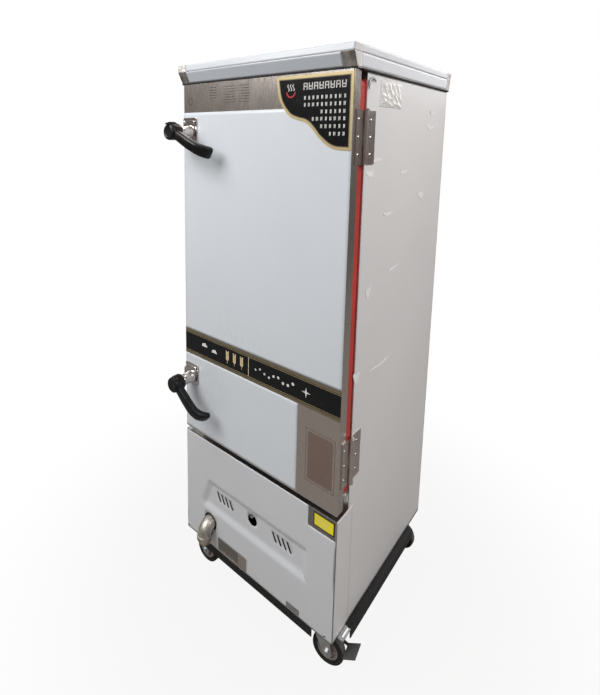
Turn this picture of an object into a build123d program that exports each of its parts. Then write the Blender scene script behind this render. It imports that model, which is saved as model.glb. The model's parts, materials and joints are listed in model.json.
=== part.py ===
from build123d import *
import math
import os

# Electric rice steamer: a tall insulated steam cabinet with one full height door, on four casters.
# Millimetres. While it is built, x is 0 on the cabinet's centre plane, y is 0 on the front of the
# door and grows to the rear, and z is 0 on the floor. The last lines move the origin to the middle
# of the whole outline, still on the floor.

# Cabinet shell
body_width = 600.0
body_depth = 558.0
body_height = 1543.0
front_depth = 60.0          # room that the door, its gasket and the lower cover take up
panel_sheet = 1.5
insulation_wall = 37.0      # foam between the side panels and the chamber

# Top cap, a folded tray whose front leans out as it rises
cap_height = 55.0
cap_fascia = 35.0           # height of the leaning part
cap_front_low = -2.0        # how far each edge stands out from the body, low, at the fascia, on top
cap_front_mid = 16.0
cap_front_top = 14.0
cap_side_low = 5.0
cap_side_mid = 6.0
cap_side_top = 6.5
cap_rear_low = 3.0
cap_rear_mid = 8.0
cap_rear_top = 10.0
cap_sheet = 1.5
cap_flange = 60.0

# Base frame, a flat ring with four hanging webs
base_sheet = 3.0
rail_height = 31.0
rail_outboard = 19.6        # side webs stand this far outside the body
rail_front_gap = 1.0        # front web behind the front of the door
base_ring_side = 95.0       # width of the ring, sides
base_ring_front = 94.0      # width of the ring, front and rear
side_rail_start = 72.0
rail_wheel_gap = 18.0       # front and rear webs stop this far short of the king pins
side_rail_end_gap = 102.0   # from the rear of the body

# Casters
caster_height = 120.0
caster_inset_x = 50.0
caster_front_y = 44.0
caster_rear_inset = 66.0
caster_trail = 16.0
front_right_turn = 9.0      # degrees that the front right caster stands turned
wheel_radius = 48.0
tyre_width = 28.0
hub_radius = 31.0
hub_width = 24.0
hub_boss_radius = 11.0
axle_radius = 5.0
plate_length = 70.0
plate_width = 60.0
plate_thickness = 3.0
plate_bolt_inset = 9.0
plate_bolt_radius = 3.5
king_pin_radius = 6.0
king_pin_head_radius = 10.0
king_pin_head_height = 2.0
fork_sheet = 3.0
fork_side_gap = 3.0         # between the tyre and each leg
fork_crown_radius = 30.0
fork_crown_thickness = 4.0
fork_crown_low = 101.0
fork_boss_radius = 22.0
fork_leg_shoulder = 6.0     # below the crown, where the legs start to narrow
fork_end_radius = 15.0
axle_nut_radius = 8.0
brake_pivot_x = 18.0
brake_pivot_z = 72.0
brake_pin_radius = 3.0
brake_eye = 6.0
brake_pad_start = 66.0
brake_pad_low = 66.0        # top of the tread plate at its lower end
brake_reach = 102.0
brake_tip = 88.0            # top of the tread plate at its upper end
brake_pad_thickness = 5.0
brake_arm_depth = 10.0
brake_sheet = 3.0

# Straps that tie the front caster plates to the side rails
strap_width = 8.0
strap_gap = 0.5             # between a strap and the side of the body
strap_slot_start = 8.5      # outboard of the side of the body
strap_slot_end = 14.5
strap_sheet = 3.0
strap_setback = 14.0        # front of the strap before the king pin

# Lower front cover
cover_height = 379.0
cover_sheet = 1.5
cover_return = 14.0
channel_depth = 9.0
channel_slope = 22.0
channel_left = -228.0
channel_left_foot = -225.0
channel_left_top = -193.0
channel_right = 215.0
channel_low = 127.0         # heights here are above the bottom edge of the body
channel_knee = 151.0
channel_high = 242.0
slot_count = 4
slot_pitch = 18.4
slot_width = 5.0
slot_low = 177.0
slot_high = 207.0
slot_lean = 15.0
slot_left_x = -156.5
slot_right_x = 79.0
peep_hole_x = -1.0
peep_hole_z = 195.0
peep_hole_radius = 18.0
cover_screw_left_inset = 9.0
cover_screw_right_inset = 24.0
cover_screw_height = 11.0

# Door
door_gap = 14.6             # open joint between the lower cover and the door
door_top_gap = 2.0
door_thickness = 30.0
door_sheet = 1.2
door_edge_radius = 3.0
gasket_width = 26.0
gasket_side_margin = 2.0
gasket_bottom_margin = 27.4
gasket_top_margin = 15.0
gasket_gap = 0.3
gasket_radius = 22.0
seal_land = 12.0            # bare frame between the gasket and the mouth of the chamber
door_plug_depth = 14.0
door_plug_gap = 4.0

# Chamber
insulation_rear = 53.5      # foam between the back panel and the chamber
chamber_sheet = 1.5
chamber_sill = 30.0
chamber_headroom = 8.0
tray_pitch = 82.0
tray_headroom = 40.0        # least room over the highest runner
first_runner = 75.0         # above the chamber floor
runner_width = 20.0
runner_leg = 14.0
runner_sheet = 2.0
rack_post_width = 22.0
rack_post_depth = 3.0
rack_front_gap = 20.0
rack_rear_gap = 14.0
tray_rim = 12.0
tray_depth = 38.0
tray_sheet = 1.0
tray_side_gap = 6.0         # between the pan and the runners
tray_end_gap = 6.0

# Water tank, its lid plate and what heats it
tank_side_gap = 20.0        # between the tank and the side walls of the chamber
tank_front = 130.0
tank_rear_gap = 40.0
tank_depth = 160.0
tank_sheet = 1.5
tank_rim = 14.0
baffle_sheet = 1.5
baffle_rows = 3
baffle_columns = 4
baffle_opening = 60.0       # side of each square opening
baffle_lap = 6.0
element_count = 3
element_pitch = 120.0
element_radius = 6.0
element_bend = 22.0
element_height = 35.0
element_rear_gap = 30.0
element_tail = 22.0
element_flange_sheet = 4.0
element_flange_height = 60.0
element_flange_margin = 30.0
terminal_box_depth = 52.0
terminal_box_margin = 12.0
terminal_box_height = 84.0
terminal_box_sheet = 1.2

# Drain
drain_left_inset = 119.0    # from the left side of the body
drain_height = 88.0         # above the bottom edge of the body
drain_tank_y = 270.0
drain_radius = 21.0
drain_bore = 17.5
drain_bend = 44.0
elbow_radius = 23.0
elbow_bend = 28.0
elbow_out = 28.0
elbow_end = 34.0            # above the bottom edge of the body
elbow_stub = 14.0
elbow_collar = 12.0
elbow_collar_radius = 26.0
cover_drain_gap = 5.0
valve_length = 40.0
valve_front = 72.0
valve_radius = 29.0
valve_stem_radius = 5.0
valve_stem_height = 12.0
valve_seat_wall = 3.0
valve_handle_length = 92.0
valve_handle_width = 18.0
valve_handle_eye = 11.0
valve_handle_sheet = 4.0
valve_handle_gap = 0.3
valve_nut_radius = 9.0
valve_nut_height = 5.0

# Float box on the rear, which keeps the water level
float_box_right_inset = 185.0    # middle of the box from the right side of the body
float_box_width = 150.0
float_box_depth = 80.0
float_box_height = 150.0
float_box_rise = 66.5       # above the bottom of the tank
float_box_sheet = 1.5
float_lid_lip = 9.0
feed_pipe_height = 22.0     # above the bottom of the box
feed_pipe_radius = 13.5
feed_pipe_bore = 11.5
float_pivot_inset = 32.0
float_pivot_drop = 50.0
float_arm_length = 70.0
float_arm_radius = 3.0
float_ball_radius = 24.0
float_ball_grip = 8.0
float_drop_angle = 20.0
float_hub_radius = 6.0
float_hub_width = 10.0
float_pin_radius = 2.0
float_ear_thickness = 4.0
float_ear_lap = 2.0
float_body_radius = 12.0
inlet_radius = 10.48
inlet_length = 15.0
inlet_bore = 6.0
inlet_nut_radius = 17.0
inlet_nut_length = 8.0

# Steam vent and cable gland on the rear
vent_right_inset = 150.0    # from the right side of the body
vent_drop = 72.0            # below the roof of the chamber
vent_radius = 17.0
vent_bore = 15.0
vent_out = 52.0
vent_collar_radius = 26.0
vent_collar = 3.0
gland_left_inset = 100.0    # from the left side of the body
gland_height = 94.0         # above the bottom edge of the body
gland_bore = 11.0
gland_radius = 16.0
gland_nut_radius = 21.0
gland_nut_length = 9.0
gland_dome_radius = 19.0
gland_dome_length = 17.0
gland_inner_length = 14.0

# Hinges on the right side of the door
hinge_height = 131.0
hinge_upper_drop = 156.5    # middle of the upper hinge below the top of the door
hinge_lower_rise = 136.4    # middle of the lower hinge above the bottom of the door
hinge_sheet = 3.0
hinge_barrel_radius = 7.0
hinge_pin_radius = 3.0
hinge_pin_head_radius = 5.5
hinge_pin_head = 3.0
hinge_axis_y = 52.0
hinge_leaf_rear = 108.0
hinge_leaf_front = 13.0
hinge_gap = 0.4
hinge_screw_pitch = 42.0

# Latches on the left side of the door
latch_x = 32.0              # from the left edge of the door
latch_upper_drop = 145.0    # upper spindle below the top of the door
latch_lower_rise = 192.4    # lower spindle above the bottom of the door
latch_upper_angle = 30.0    # how far each lever hangs below level as shown
latch_lower_angle = 43.0
latch_locked_angle = 80.0
latch_plate_width = 62.0
latch_plate_above = 45.0
latch_plate_below = 24.0
latch_plate_thickness = 4.0
latch_neck_root = 22.0
latch_neck_tip = 16.0
latch_neck_length = 44.0
spindle_radius = 9.0
tongue_reach = 36.0
tongue_tip_radius = 8.0
tongue_hub_radius = 14.0
tongue_front = 12.0
tongue_thickness = 8.0
pocket_gap = 2.5
lever_head_radius = 25.0
lever_head_length = 40.0
lever_gap = 2.0
lever_socket = 30.0
lever_width = 32.0
lever_elbow = 104.0
lever_tip_run = 44.0
lever_tip_drop = 28.0
lever_inset = 8.0           # arm faces inside the ends of the head
lever_rounding = 7.0
keeper_sheet = 3.0
keeper_half_height = 11.0
keeper_front = 6.0
keeper_throat = 15.0
keeper_hook_thickness = 4.0
keeper_side_gap = 3.0
keeper_foot_length = 48.0
keeper_foot_half_height = 30.0
keeper_screw_spread = 20.0

# Fasteners and running fits
screw_head_radius = 4.5
screw_head_height = 2.0
rear_screw_columns = 3
rear_screw_rows = 6
rear_screw_margin = 16.0
running_gap = 0.05
side_gap = 0.3

# Levels and planes that follow from the sizes above
half_width = body_width / 2
body_bottom = caster_height + base_sheet
body_top = body_bottom + body_height
body_rear = front_depth + body_depth
inner_half = half_width - panel_sheet
frame_rear = front_depth + panel_sheet
cover_top = body_bottom + cover_height
door_bottom = cover_top + door_gap
door_top = body_top - door_top_gap
gasket_low = door_bottom + gasket_bottom_margin
gasket_high = door_top - gasket_top_margin
gasket_half = half_width - gasket_side_margin
gasket_rear = front_depth - gasket_gap
mouth_half = gasket_half - gasket_width - seal_land
mouth_low = gasket_low + gasket_width + seal_land
mouth_high = gasket_high - gasket_width - seal_land
liner_half = inner_half - insulation_wall
chamber_half = liner_half - chamber_sheet
chamber_floor = mouth_low - chamber_sill
chamber_top = mouth_high + chamber_headroom
chamber_rear = body_rear - panel_sheet - insulation_rear - chamber_sheet
tray_room = chamber_top - chamber_floor - first_runner - tray_headroom
tray_levels = int(tray_room / tray_pitch) + 1
tank_half = chamber_half - tank_side_gap
tank_rear = chamber_rear - tank_rear_gap
tank_top = chamber_floor - chamber_sheet
tank_bottom = tank_top - tank_depth
foam_bottom = tank_top - insulation_wall
rail_bottom = body_bottom - rail_height
caster_x = half_width - caster_inset_x
caster_rear_y = body_rear - caster_rear_inset
plate_low = caster_height - plate_thickness
leg_inner = tyre_width / 2 + fork_side_gap
leg_outer = leg_inner + fork_sheet
pedal_half = leg_outer + side_gap + brake_sheet
turned_angle = math.radians(front_right_turn)
pedal_out = brake_reach * math.cos(turned_angle) + pedal_half * math.sin(turned_angle)
hinge_axis_x = half_width + hinge_barrel_radius
hinge_upper_z = door_top - hinge_upper_drop
hinge_lower_z = door_bottom + hinge_lower_rise
spindle_x = latch_x - half_width
latch_upper_z = door_top - latch_upper_drop
latch_lower_z = door_bottom + latch_lower_rise
neck_front = -latch_plate_thickness - latch_neck_length
lever_rear = neck_front - lever_gap
lever_front = lever_rear - lever_head_length
drain_x = drain_left_inset - half_width
drain_z = body_bottom + drain_height
vent_x = half_width - vent_right_inset
vent_z = chamber_top - vent_drop
gland_x = gland_left_inset - half_width
float_low = tank_bottom + float_box_rise
float_box_x = half_width - float_box_right_inset
float_left = float_box_x - float_box_width / 2
float_right = float_box_x + float_box_width / 2
float_rear = body_rear + float_box_depth
float_middle_y = body_rear + float_box_depth / 2
float_pivot_x = float_right - float_pivot_inset
float_pivot_z = float_low + float_box_height - float_pivot_drop
feed_z = float_low + feed_pipe_height
element_z = tank_bottom + element_height
runner_front = frame_rear + rack_front_gap
runner_rear = chamber_rear - rack_rear_gap
element_span = element_pitch * (element_count - 1) / 2 + element_bend + element_flange_margin

# Middle of the outline, which the origin moves to
middle_x = (caster_x + pedal_out - half_width - rail_outboard) / 2
middle_y = (lever_front + float_rear) / 2


def block(x_low, x_high, y_low, y_high, z_low, z_high):
    # A box between two corners.
    middle = Pos((x_low + x_high) / 2, (y_low + y_high) / 2, (z_low + z_high) / 2)
    return middle * Box(x_high - x_low, y_high - y_low, z_high - z_low)


def rod_x(radius, y, z, x_low, x_high):
    return Pos((x_low + x_high) / 2, y, z) * Rot(0, 90, 0) * Cylinder(radius, x_high - x_low)


def rod_y(radius, x, z, y_low, y_high):
    return Pos(x, (y_low + y_high) / 2, z) * Rot(90, 0, 0) * Cylinder(radius, y_high - y_low)


def rod_z(radius, x, y, z_low, z_high):
    return Pos(x, y, (z_low + z_high) / 2) * Cylinder(radius, z_high - z_low)


def hex_x(radius, y, z, x_low, x_high):
    face = Plane.YZ * RegularPolygon(radius, 6)
    return Pos(x_low, y, z) * extrude(face, amount=x_high - x_low)


def hex_y(radius, x, z, y_low, y_high):
    face = Plane.XZ * RegularPolygon(radius, 6)
    return Pos(x, y_high, z) * extrude(face, amount=y_high - y_low)


def hex_z(radius, x, y, z_low, z_high):
    return Pos(x, y, z_low) * extrude(RegularPolygon(radius, 6), amount=z_high - z_low)


def bent_tube(points, bend, outer, inner):
    # A tube along straight runs joined by equal tangent arcs.
    path = FilletPolyline(*points, radius=bend)
    whole = sweep((path ^ 0) * Circle(outer), path=path)
    hollow = sweep((path ^ 0) * Circle(inner), path=path)
    return whole - hollow


def profile_y(points, y_low, y_high):
    # An outline in x and z carried from y_low to y_high.
    face = Plane.XZ * make_face(Polyline(*points, close=True))
    return Pos(0, y_high, 0) * extrude(face, amount=y_high - y_low)


def open_box(x_low, x_high, y_low, y_high, z_low, z_high, sheet):
    # Floor, left, right, front and rear of an open sheet box, as plates that meet face to face.
    floor = block(x_low, x_high, y_low, y_high, z_low, z_low + sheet)
    left = block(x_low, x_low + sheet, y_low, y_high, z_low + sheet, z_high)
    right = block(x_high - sheet, x_high, y_low, y_high, z_low + sheet, z_high)
    front = block(x_low + sheet, x_high - sheet, y_low, y_low + sheet, z_low + sheet, z_high)
    rear = block(x_low + sheet, x_high - sheet, y_high - sheet, y_high, z_low + sheet, z_high)
    return [floor, left, right, front, rear]


def strips(outer, hole, z_low, z_high):
    # A flat frame as four plates; outer and hole are each x low, x high, y low and y high.
    left = block(outer[0], hole[0], outer[2], outer[3], z_low, z_high)
    right = block(hole[1], outer[1], outer[2], outer[3], z_low, z_high)
    front = block(hole[0], hole[1], outer[2], hole[2], z_low, z_high)
    rear = block(hole[0], hole[1], hole[3], outer[3], z_low, z_high)
    return [left, right, front, rear]


def slices(z_levels, boxes):
    # A ruled solid through rectangles given as x half width, front y and rear y at each level.
    faces = []
    for z, (half, front, rear) in zip(z_levels, boxes):
        middle = Pos(0, (front + rear) / 2, z)
        faces.append(middle * Rectangle(2 * half, rear - front))
    return loft(faces, ruled=True)


# Base frame and cabinet shell

def base_frame():
    ring_top = body_bottom
    ring_low = body_bottom - base_sheet
    front = rail_front_gap
    rear = body_rear - rail_front_gap
    side_out = half_width + rail_outboard
    side_end = body_rear - side_rail_end_gap
    ring = block(-half_width, half_width, front, rear, ring_low, ring_top)
    ring += block(-side_out, side_out, side_rail_start, side_end, ring_low, ring_top)
    hole_half = half_width - base_ring_side
    ring -= block(-hole_half, hole_half, front + base_ring_front, rear - base_ring_front,
                  ring_low, ring_top)
    web_half = caster_x - rail_wheel_gap
    for web_front in (front, rear - base_sheet):
        ring += block(-web_half, web_half, web_front, web_front + base_sheet, rail_bottom, ring_low)
    for web_left in (-side_out, side_out - base_sheet):
        ring += block(web_left, web_left + base_sheet, side_rail_start, side_end,
                      rail_bottom, ring_low)
    return ring


def cabinet_floor():
    return block(-inner_half, inner_half, frame_rear, body_rear - panel_sheet,
                 body_bottom, body_bottom + panel_sheet)


def side_panel(side):
    panel = block(inner_half, half_width, front_depth, body_rear, body_bottom, body_top)
    if side < 0:
        panel = mirror(panel, about=Plane.YZ)
    return panel


def back_panel():
    panel = block(-inner_half, inner_half, body_rear - panel_sheet, body_rear, body_bottom, body_top)
    panel -= rod_y(vent_radius, vent_x, vent_z, chamber_rear, body_rear)
    panel -= rod_y(gland_radius, gland_x, body_bottom + gland_height, chamber_rear, body_rear)
    panel -= rod_y(feed_pipe_radius, float_box_x, feed_z, chamber_rear, body_rear)
    return panel


def top_cap():
    low = (half_width + cap_side_low, -cap_front_low, body_rear + cap_rear_low)
    mid = (half_width + cap_side_mid, -cap_front_mid, body_rear + cap_rear_mid)
    top = (half_width + cap_side_top, -cap_front_top, body_rear + cap_rear_top)
    levels = (body_top, body_top + cap_fascia, body_top + cap_height)
    cap = slices(levels, (low, mid, top))
    thin = [(half - cap_sheet, front + cap_sheet, rear - cap_sheet) for half, front, rear in (low, mid, top)]
    inside_levels = (body_top + cap_sheet, body_top + cap_fascia, body_top + cap_height - cap_sheet)
    cap -= slices(inside_levels, thin)
    hole = half_width - cap_flange
    cap -= block(-hole, hole, front_depth + cap_flange, body_rear - cap_flange,
                 body_top, body_top + cap_sheet)
    return cap


def channel(depth, spread):
    # The pressed-in channel of the lower cover, a shallow tapered pit seen from the front.
    low = body_bottom + channel_low
    knee = body_bottom + channel_knee
    high = body_bottom + channel_high
    rim = Polyline((channel_left_top - spread, high + spread), (channel_left - spread, knee),
                   (channel_left_foot - spread, low - spread), (channel_right + spread, low - spread),
                   (channel_right + spread, high + spread), close=True)
    inset = channel_slope - spread
    bed = Polyline((channel_left_top + inset, high - inset), (channel_left + inset, knee),
                   (channel_left_foot + inset, low + inset), (channel_right - inset, low + inset),
                   (channel_right - inset, high - inset), close=True)
    rim_face = Plane.XZ * make_face(rim)
    bed_face = Pos(0, depth, 0) * (Plane.XZ * make_face(bed))
    return loft([rim_face, bed_face], ruled=True)


def lower_front_cover():
    left = -half_width
    right = half_width
    rear = front_depth - side_gap
    shell = block(left, right, 0, rear, body_bottom, cover_top)
    inside = block(left + cover_sheet, right - cover_sheet, cover_sheet, rear,
                   body_bottom + cover_sheet, cover_top - cover_sheet)
    pressed = block(left, right, 0, channel_depth + cover_sheet, body_bottom, cover_top)
    pressed = channel(channel_depth + cover_sheet, cover_sheet) & pressed
    shell -= inside - pressed
    shell -= channel(channel_depth, 0)
    shell -= block(left + cover_sheet, right - cover_sheet, cover_return, rear,
                   body_bottom, body_bottom + cover_sheet)
    slot_z = body_bottom + slot_low
    slot_tall = slot_high - slot_low
    through = channel_depth + 2 * cover_sheet
    for start in (slot_left_x, slot_right_x):
        for number in range(slot_count):
            x = start + number * slot_pitch
            corners = [(x - slot_width / 2, slot_z + slot_tall), (x + slot_width / 2, slot_z + slot_tall),
                       (x + slot_width / 2 + slot_lean, slot_z), (x - slot_width / 2 + slot_lean, slot_z)]
            shell -= profile_y(corners, 0, through)
    shell -= rod_y(peep_hole_radius, peep_hole_x, body_bottom + peep_hole_z, 0, through)
    shell -= rod_y(elbow_radius + cover_drain_gap, drain_x, drain_z, 0, through)
    return shell


def front_frame():
    frame = block(-inner_half, inner_half, front_depth, frame_rear, cover_top, body_top)
    frame -= block(-mouth_half, mouth_half, front_depth, frame_rear, mouth_low, mouth_high)
    return frame


# Chamber, foam, racks and trays

def chamber_liner():
    # Roof, side walls, rear wall and a floor round the mouth of the tank.
    outer_rear = chamber_rear + chamber_sheet
    roof = block(-liner_half, liner_half, frame_rear, outer_rear, chamber_top, chamber_top + chamber_sheet)
    left = block(-liner_half, -chamber_half, frame_rear, outer_rear, chamber_floor, chamber_top)
    right = block(chamber_half, liner_half, frame_rear, outer_rear, chamber_floor, chamber_top)
    rear = block(-chamber_half, chamber_half, chamber_rear, outer_rear, chamber_floor, chamber_top)
    rear -= rod_y(vent_radius, vent_x, vent_z, chamber_rear, outer_rear)
    tank_mouth = tank_half - tank_sheet
    floor = strips((-liner_half, liner_half, frame_rear, outer_rear),
                   (-tank_mouth, tank_mouth, tank_front + tank_sheet, tank_rear - tank_sheet),
                   tank_top, chamber_floor)
    return [roof, left, right, rear] + floor


def insulation():
    foam = block(-inner_half, inner_half, frame_rear, body_rear - panel_sheet, foam_bottom, body_top)
    foam -= block(-liner_half, liner_half, frame_rear, chamber_rear + chamber_sheet,
                  tank_top, chamber_top + chamber_sheet)
    rim_half = tank_half + tank_rim
    foam -= block(-rim_half, rim_half, frame_rear, tank_rear + tank_rim, foam_bottom, tank_top)
    foam -= rod_y(vent_radius, vent_x, vent_z, chamber_rear, body_rear)
    foam -= rod_y(feed_pipe_radius, float_box_x, feed_z, tank_front, body_rear)
    return foam


def tray_rack(side):
    # A foot rail, three posts and, for each level, a shelf and an upright leg, all plates.
    wall = chamber_half
    face = wall - rack_post_depth
    post_low = chamber_floor + rack_post_width
    post_high = chamber_floor + first_runner + (tray_levels - 1) * tray_pitch + runner_leg
    plates = [block(face, wall, runner_front, runner_rear, chamber_floor, post_low)]
    for y in (runner_front, (runner_front + runner_rear - rack_post_width) / 2, runner_rear - rack_post_width):
        plates.append(block(face, wall, y, y + rack_post_width, post_low, post_high))
    for level in range(tray_levels):
        z = chamber_floor + first_runner + level * tray_pitch
        plates.append(block(face - runner_width, face, runner_front, runner_rear, z - runner_sheet, z))
        plates.append(block(face - runner_sheet, face, runner_front, runner_rear, z, z + runner_leg))
    if side < 0:
        plates = [mirror(plate, about=Plane.YZ) for plate in plates]
    return plates


def trays():
    # Each tray is an open pan with a flat rim that lies on the runners.
    pan_half = chamber_half - rack_post_depth - runner_width - tray_side_gap
    rim_half = pan_half + tray_side_gap + tray_rim
    front = runner_front + tray_end_gap + tray_rim
    rear = runner_rear - tray_end_gap - tray_rim
    plates = []
    for level in range(tray_levels):
        z = chamber_floor + first_runner + level * tray_pitch
        plates += open_box(-pan_half, pan_half, front, rear, z - tray_depth, z + tray_sheet, tray_sheet)
        plates += strips((-rim_half, rim_half, front - tray_rim, rear + tray_rim),
                         (-pan_half, pan_half, front, rear), z, z + tray_sheet)
    return plates


# Water tank and heating

def water_tank():
    walls = open_box(-tank_half, tank_half, tank_front, tank_rear, tank_bottom, tank_top, tank_sheet)
    floor, left, right, front, rear = walls
    floor -= rod_z(drain_bore, drain_x, drain_tank_y, tank_bottom, tank_bottom + tank_sheet)
    rear -= rod_y(feed_pipe_bore, float_box_x, feed_z, tank_rear - tank_sheet, tank_rear)
    for x in element_legs():
        front -= rod_y(element_radius, x, element_z, tank_front, tank_front + tank_sheet)
    rim_half = tank_half + tank_rim
    rim = strips((-rim_half, rim_half, tank_front - tank_rim, tank_rear + tank_rim),
                 (-tank_half, tank_half, tank_front, tank_rear), tank_top - tank_sheet, tank_top)
    return [floor, left, right, front, rear] + rim


def steam_baffle():
    # A grating over the tank: bars along y between the columns of square openings, short bars
    # across each column, all meeting face to face.
    low = chamber_floor
    high = chamber_floor + baffle_sheet
    front = tank_front - baffle_lap
    rear = tank_rear + baffle_lap
    half = baffle_opening / 2
    columns = [2 * tank_half * ((number + 0.5) / baffle_columns - 0.5) for number in range(baffle_columns)]
    tank_length = tank_rear - tank_front
    rows = [tank_front + tank_length * (number + 0.5) / baffle_rows for number in range(baffle_rows)]
    starts = [-tank_half - baffle_lap] + [x + half for x in columns]
    ends = [x - half for x in columns] + [tank_half + baffle_lap]
    bars = [block(x_low, x_high, front, rear, low, high) for x_low, x_high in zip(starts, ends)]
    starts = [front] + [y + half for y in rows]
    ends = [y - half for y in rows] + [rear]
    for x in columns:
        bars += [block(x - half, x + half, y_low, y_high, low, high) for y_low, y_high in zip(starts, ends)]
    return bars


def element_centres():
    first = -element_pitch * (element_count - 1) / 2
    return [first + number * element_pitch for number in range(element_count)]


def element_legs():
    return [x + side * element_bend for x in element_centres() for side in (-1, 1)]


def heating_elements():
    front = tank_front - element_flange_sheet - element_tail
    rear = tank_rear - element_rear_gap
    elements = []
    for x in element_centres():
        turn = rear - element_bend
        path = Line((x - element_bend, front, element_z), (x - element_bend, turn, element_z))
        path += ThreePointArc((x - element_bend, turn, element_z), (x, rear, element_z),
                              (x + element_bend, turn, element_z))
        path += Line((x + element_bend, turn, element_z), (x + element_bend, front, element_z))
        elements.append(sweep((path ^ 0) * Circle(element_radius), path=path))
    return elements


def element_flange():
    plate = block(-element_span, element_span, tank_front - element_flange_sheet, tank_front,
                  element_z - element_flange_height / 2, element_z + element_flange_height / 2)
    for x in element_legs():
        plate -= rod_y(element_radius, x, element_z, tank_front - element_flange_sheet, tank_front)
    return plate


def terminal_box():
    half = element_span + terminal_box_margin
    rear = tank_front
    front = rear - terminal_box_depth
    low = element_z - terminal_box_height / 2
    high = element_z + terminal_box_height / 2
    sheet = terminal_box_sheet
    cover = block(-half, half, front, rear, low, high)
    cover -= block(sheet - half, half - sheet, front + sheet, rear, low + sheet, high - sheet)
    return cover


# Drain

def drain_pipe():
    points = ((drain_x, drain_tank_y, tank_bottom), (drain_x, drain_tank_y, drain_z),
              (drain_x, valve_front + valve_length, drain_z))
    return bent_tube(points, drain_bend, drain_radius, drain_bore)


def drain_valve_body():
    rear = valve_front + valve_length
    collar = valve_length / 4
    body = rod_y(valve_radius, drain_x, drain_z, valve_front + collar, rear - collar)
    body += hex_y(valve_radius, drain_x, drain_z, valve_front, valve_front + collar)
    body += hex_y(valve_radius, drain_x, drain_z, rear - collar, rear)
    body -= rod_y(drain_bore, drain_x, drain_z, valve_front, rear)
    seat = drain_z + valve_radius
    middle = valve_front + valve_length / 2
    body += rod_z(2 * valve_stem_radius, drain_x, middle, drain_z + drain_bore + valve_seat_wall, seat)
    body += rod_z(valve_stem_radius, drain_x, middle, seat, seat + valve_stem_height)
    nut_low = seat + 2 * valve_handle_gap + valve_handle_sheet
    body += hex_z(valve_nut_radius, drain_x, middle, nut_low, nut_low + valve_nut_height)
    return body


def drain_valve_handle():
    low = drain_z + valve_radius + valve_handle_gap
    high = low + valve_handle_sheet
    y = valve_front + valve_length / 2
    half = valve_handle_width / 2
    tip = drain_x + valve_handle_length - half
    handle = block(drain_x, tip, y - half, y + half, low, high)
    handle += rod_z(half, tip, y, low, high)
    handle += rod_z(valve_handle_eye, drain_x, y, low, high)
    handle -= rod_z(valve_stem_radius + running_gap, drain_x, y, low, high)
    return handle


def drain_elbow():
    end = body_bottom + elbow_end
    front = -elbow_out
    turn = ((drain_x, valve_front, drain_z), (drain_x, front, drain_z),
            (drain_x, front, end + elbow_stub))
    elbow = bent_tube(turn, elbow_bend, elbow_radius, drain_bore)
    stub = rod_z(drain_radius, drain_x, front, end, end + elbow_stub)
    collar = rod_z(elbow_collar_radius, drain_x, front, end + elbow_stub, end + elbow_stub + elbow_collar)
    bore = rod_z(drain_bore, drain_x, front, end, end + elbow_stub + elbow_collar)
    return elbow + (stub + collar - bore)


# Float box

def float_box():
    sheet = float_box_sheet
    high = float_low + float_box_height
    walls = open_box(float_left, float_right, body_rear, float_rear, float_low, high, sheet)
    floor, left, right, front, rear = walls
    front -= rod_y(feed_pipe_radius, float_box_x, feed_z, body_rear, body_rear + sheet)
    right -= rod_x(float_body_radius, float_middle_y, float_pivot_z, float_right - sheet, float_right)
    return [floor, left, right, front, rear]


def float_box_lid():
    # A flat top with a lip down the left, right and rear of the box.
    sheet = float_box_sheet
    high = float_low + float_box_height
    low = high - float_lid_lip
    top = block(float_left - sheet, float_right + sheet, body_rear, float_rear + sheet, high, high + sheet)
    left = block(float_left - sheet, float_left, body_rear, float_rear + sheet, low, high)
    right = block(float_right, float_right + sheet, body_rear, float_rear + sheet, low, high)
    rear = block(float_left, float_right, float_rear, float_rear + sheet, low, high)
    return [top, left, right, rear]


def feed_pipe():
    pipe = rod_y(feed_pipe_radius, float_box_x, feed_z, tank_rear, body_rear + float_box_sheet)
    return pipe - rod_y(feed_pipe_bore, float_box_x, feed_z, tank_rear, body_rear + float_box_sheet)


def float_valve():
    y = float_middle_y
    z = float_pivot_z
    inner = float_pivot_x + float_hub_radius + 2 * side_gap
    outer = float_right + inlet_nut_length
    valve = rod_x(float_body_radius, y, z, inner, float_right)
    valve += hex_x(inlet_nut_radius, y, z, float_right, outer)
    valve += rod_x(inlet_radius, y, z, outer, outer + inlet_length)
    gap = float_hub_width / 2 + side_gap
    for side in (-1, 1):
        near = side * gap
        far = side * (gap + float_ear_thickness)
        ear = block(float_pivot_x, inner + float_ear_lap, y + min(near, far), y + max(near, far),
                    z - float_hub_radius, z + float_hub_radius)
        ear += rod_y(float_hub_radius, float_pivot_x, z, y + min(near, far), y + max(near, far))
        valve += ear
    valve += rod_y(float_pin_radius, float_pivot_x, z, y - gap, y + gap)
    valve -= rod_x(inlet_bore, y, z, inner + float_ear_thickness, outer + inlet_length)
    return valve


def float_arm():
    half = float_hub_width / 2
    hub = rod_y(float_hub_radius, 0, 0, -half, half)
    arm = hub + rod_x(float_arm_radius, 0, 0, -float_arm_length, -float_hub_radius / 2)
    arm -= rod_y(float_pin_radius + running_gap, 0, 0, -half, half)
    return Pos(float_pivot_x, float_middle_y, float_pivot_z) * Rot(0, -float_drop_angle, 0) * arm


def float_ball():
    centre = -(float_arm_length - float_ball_grip + float_ball_radius)
    ball = Pos(centre, 0, 0) * Sphere(float_ball_radius)
    ball -= rod_x(float_arm_radius, 0, 0, -float_arm_length, 0)
    return Pos(float_pivot_x, float_middle_y, float_pivot_z) * Rot(0, -float_drop_angle, 0) * ball


# Steam vent and cable gland

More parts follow.
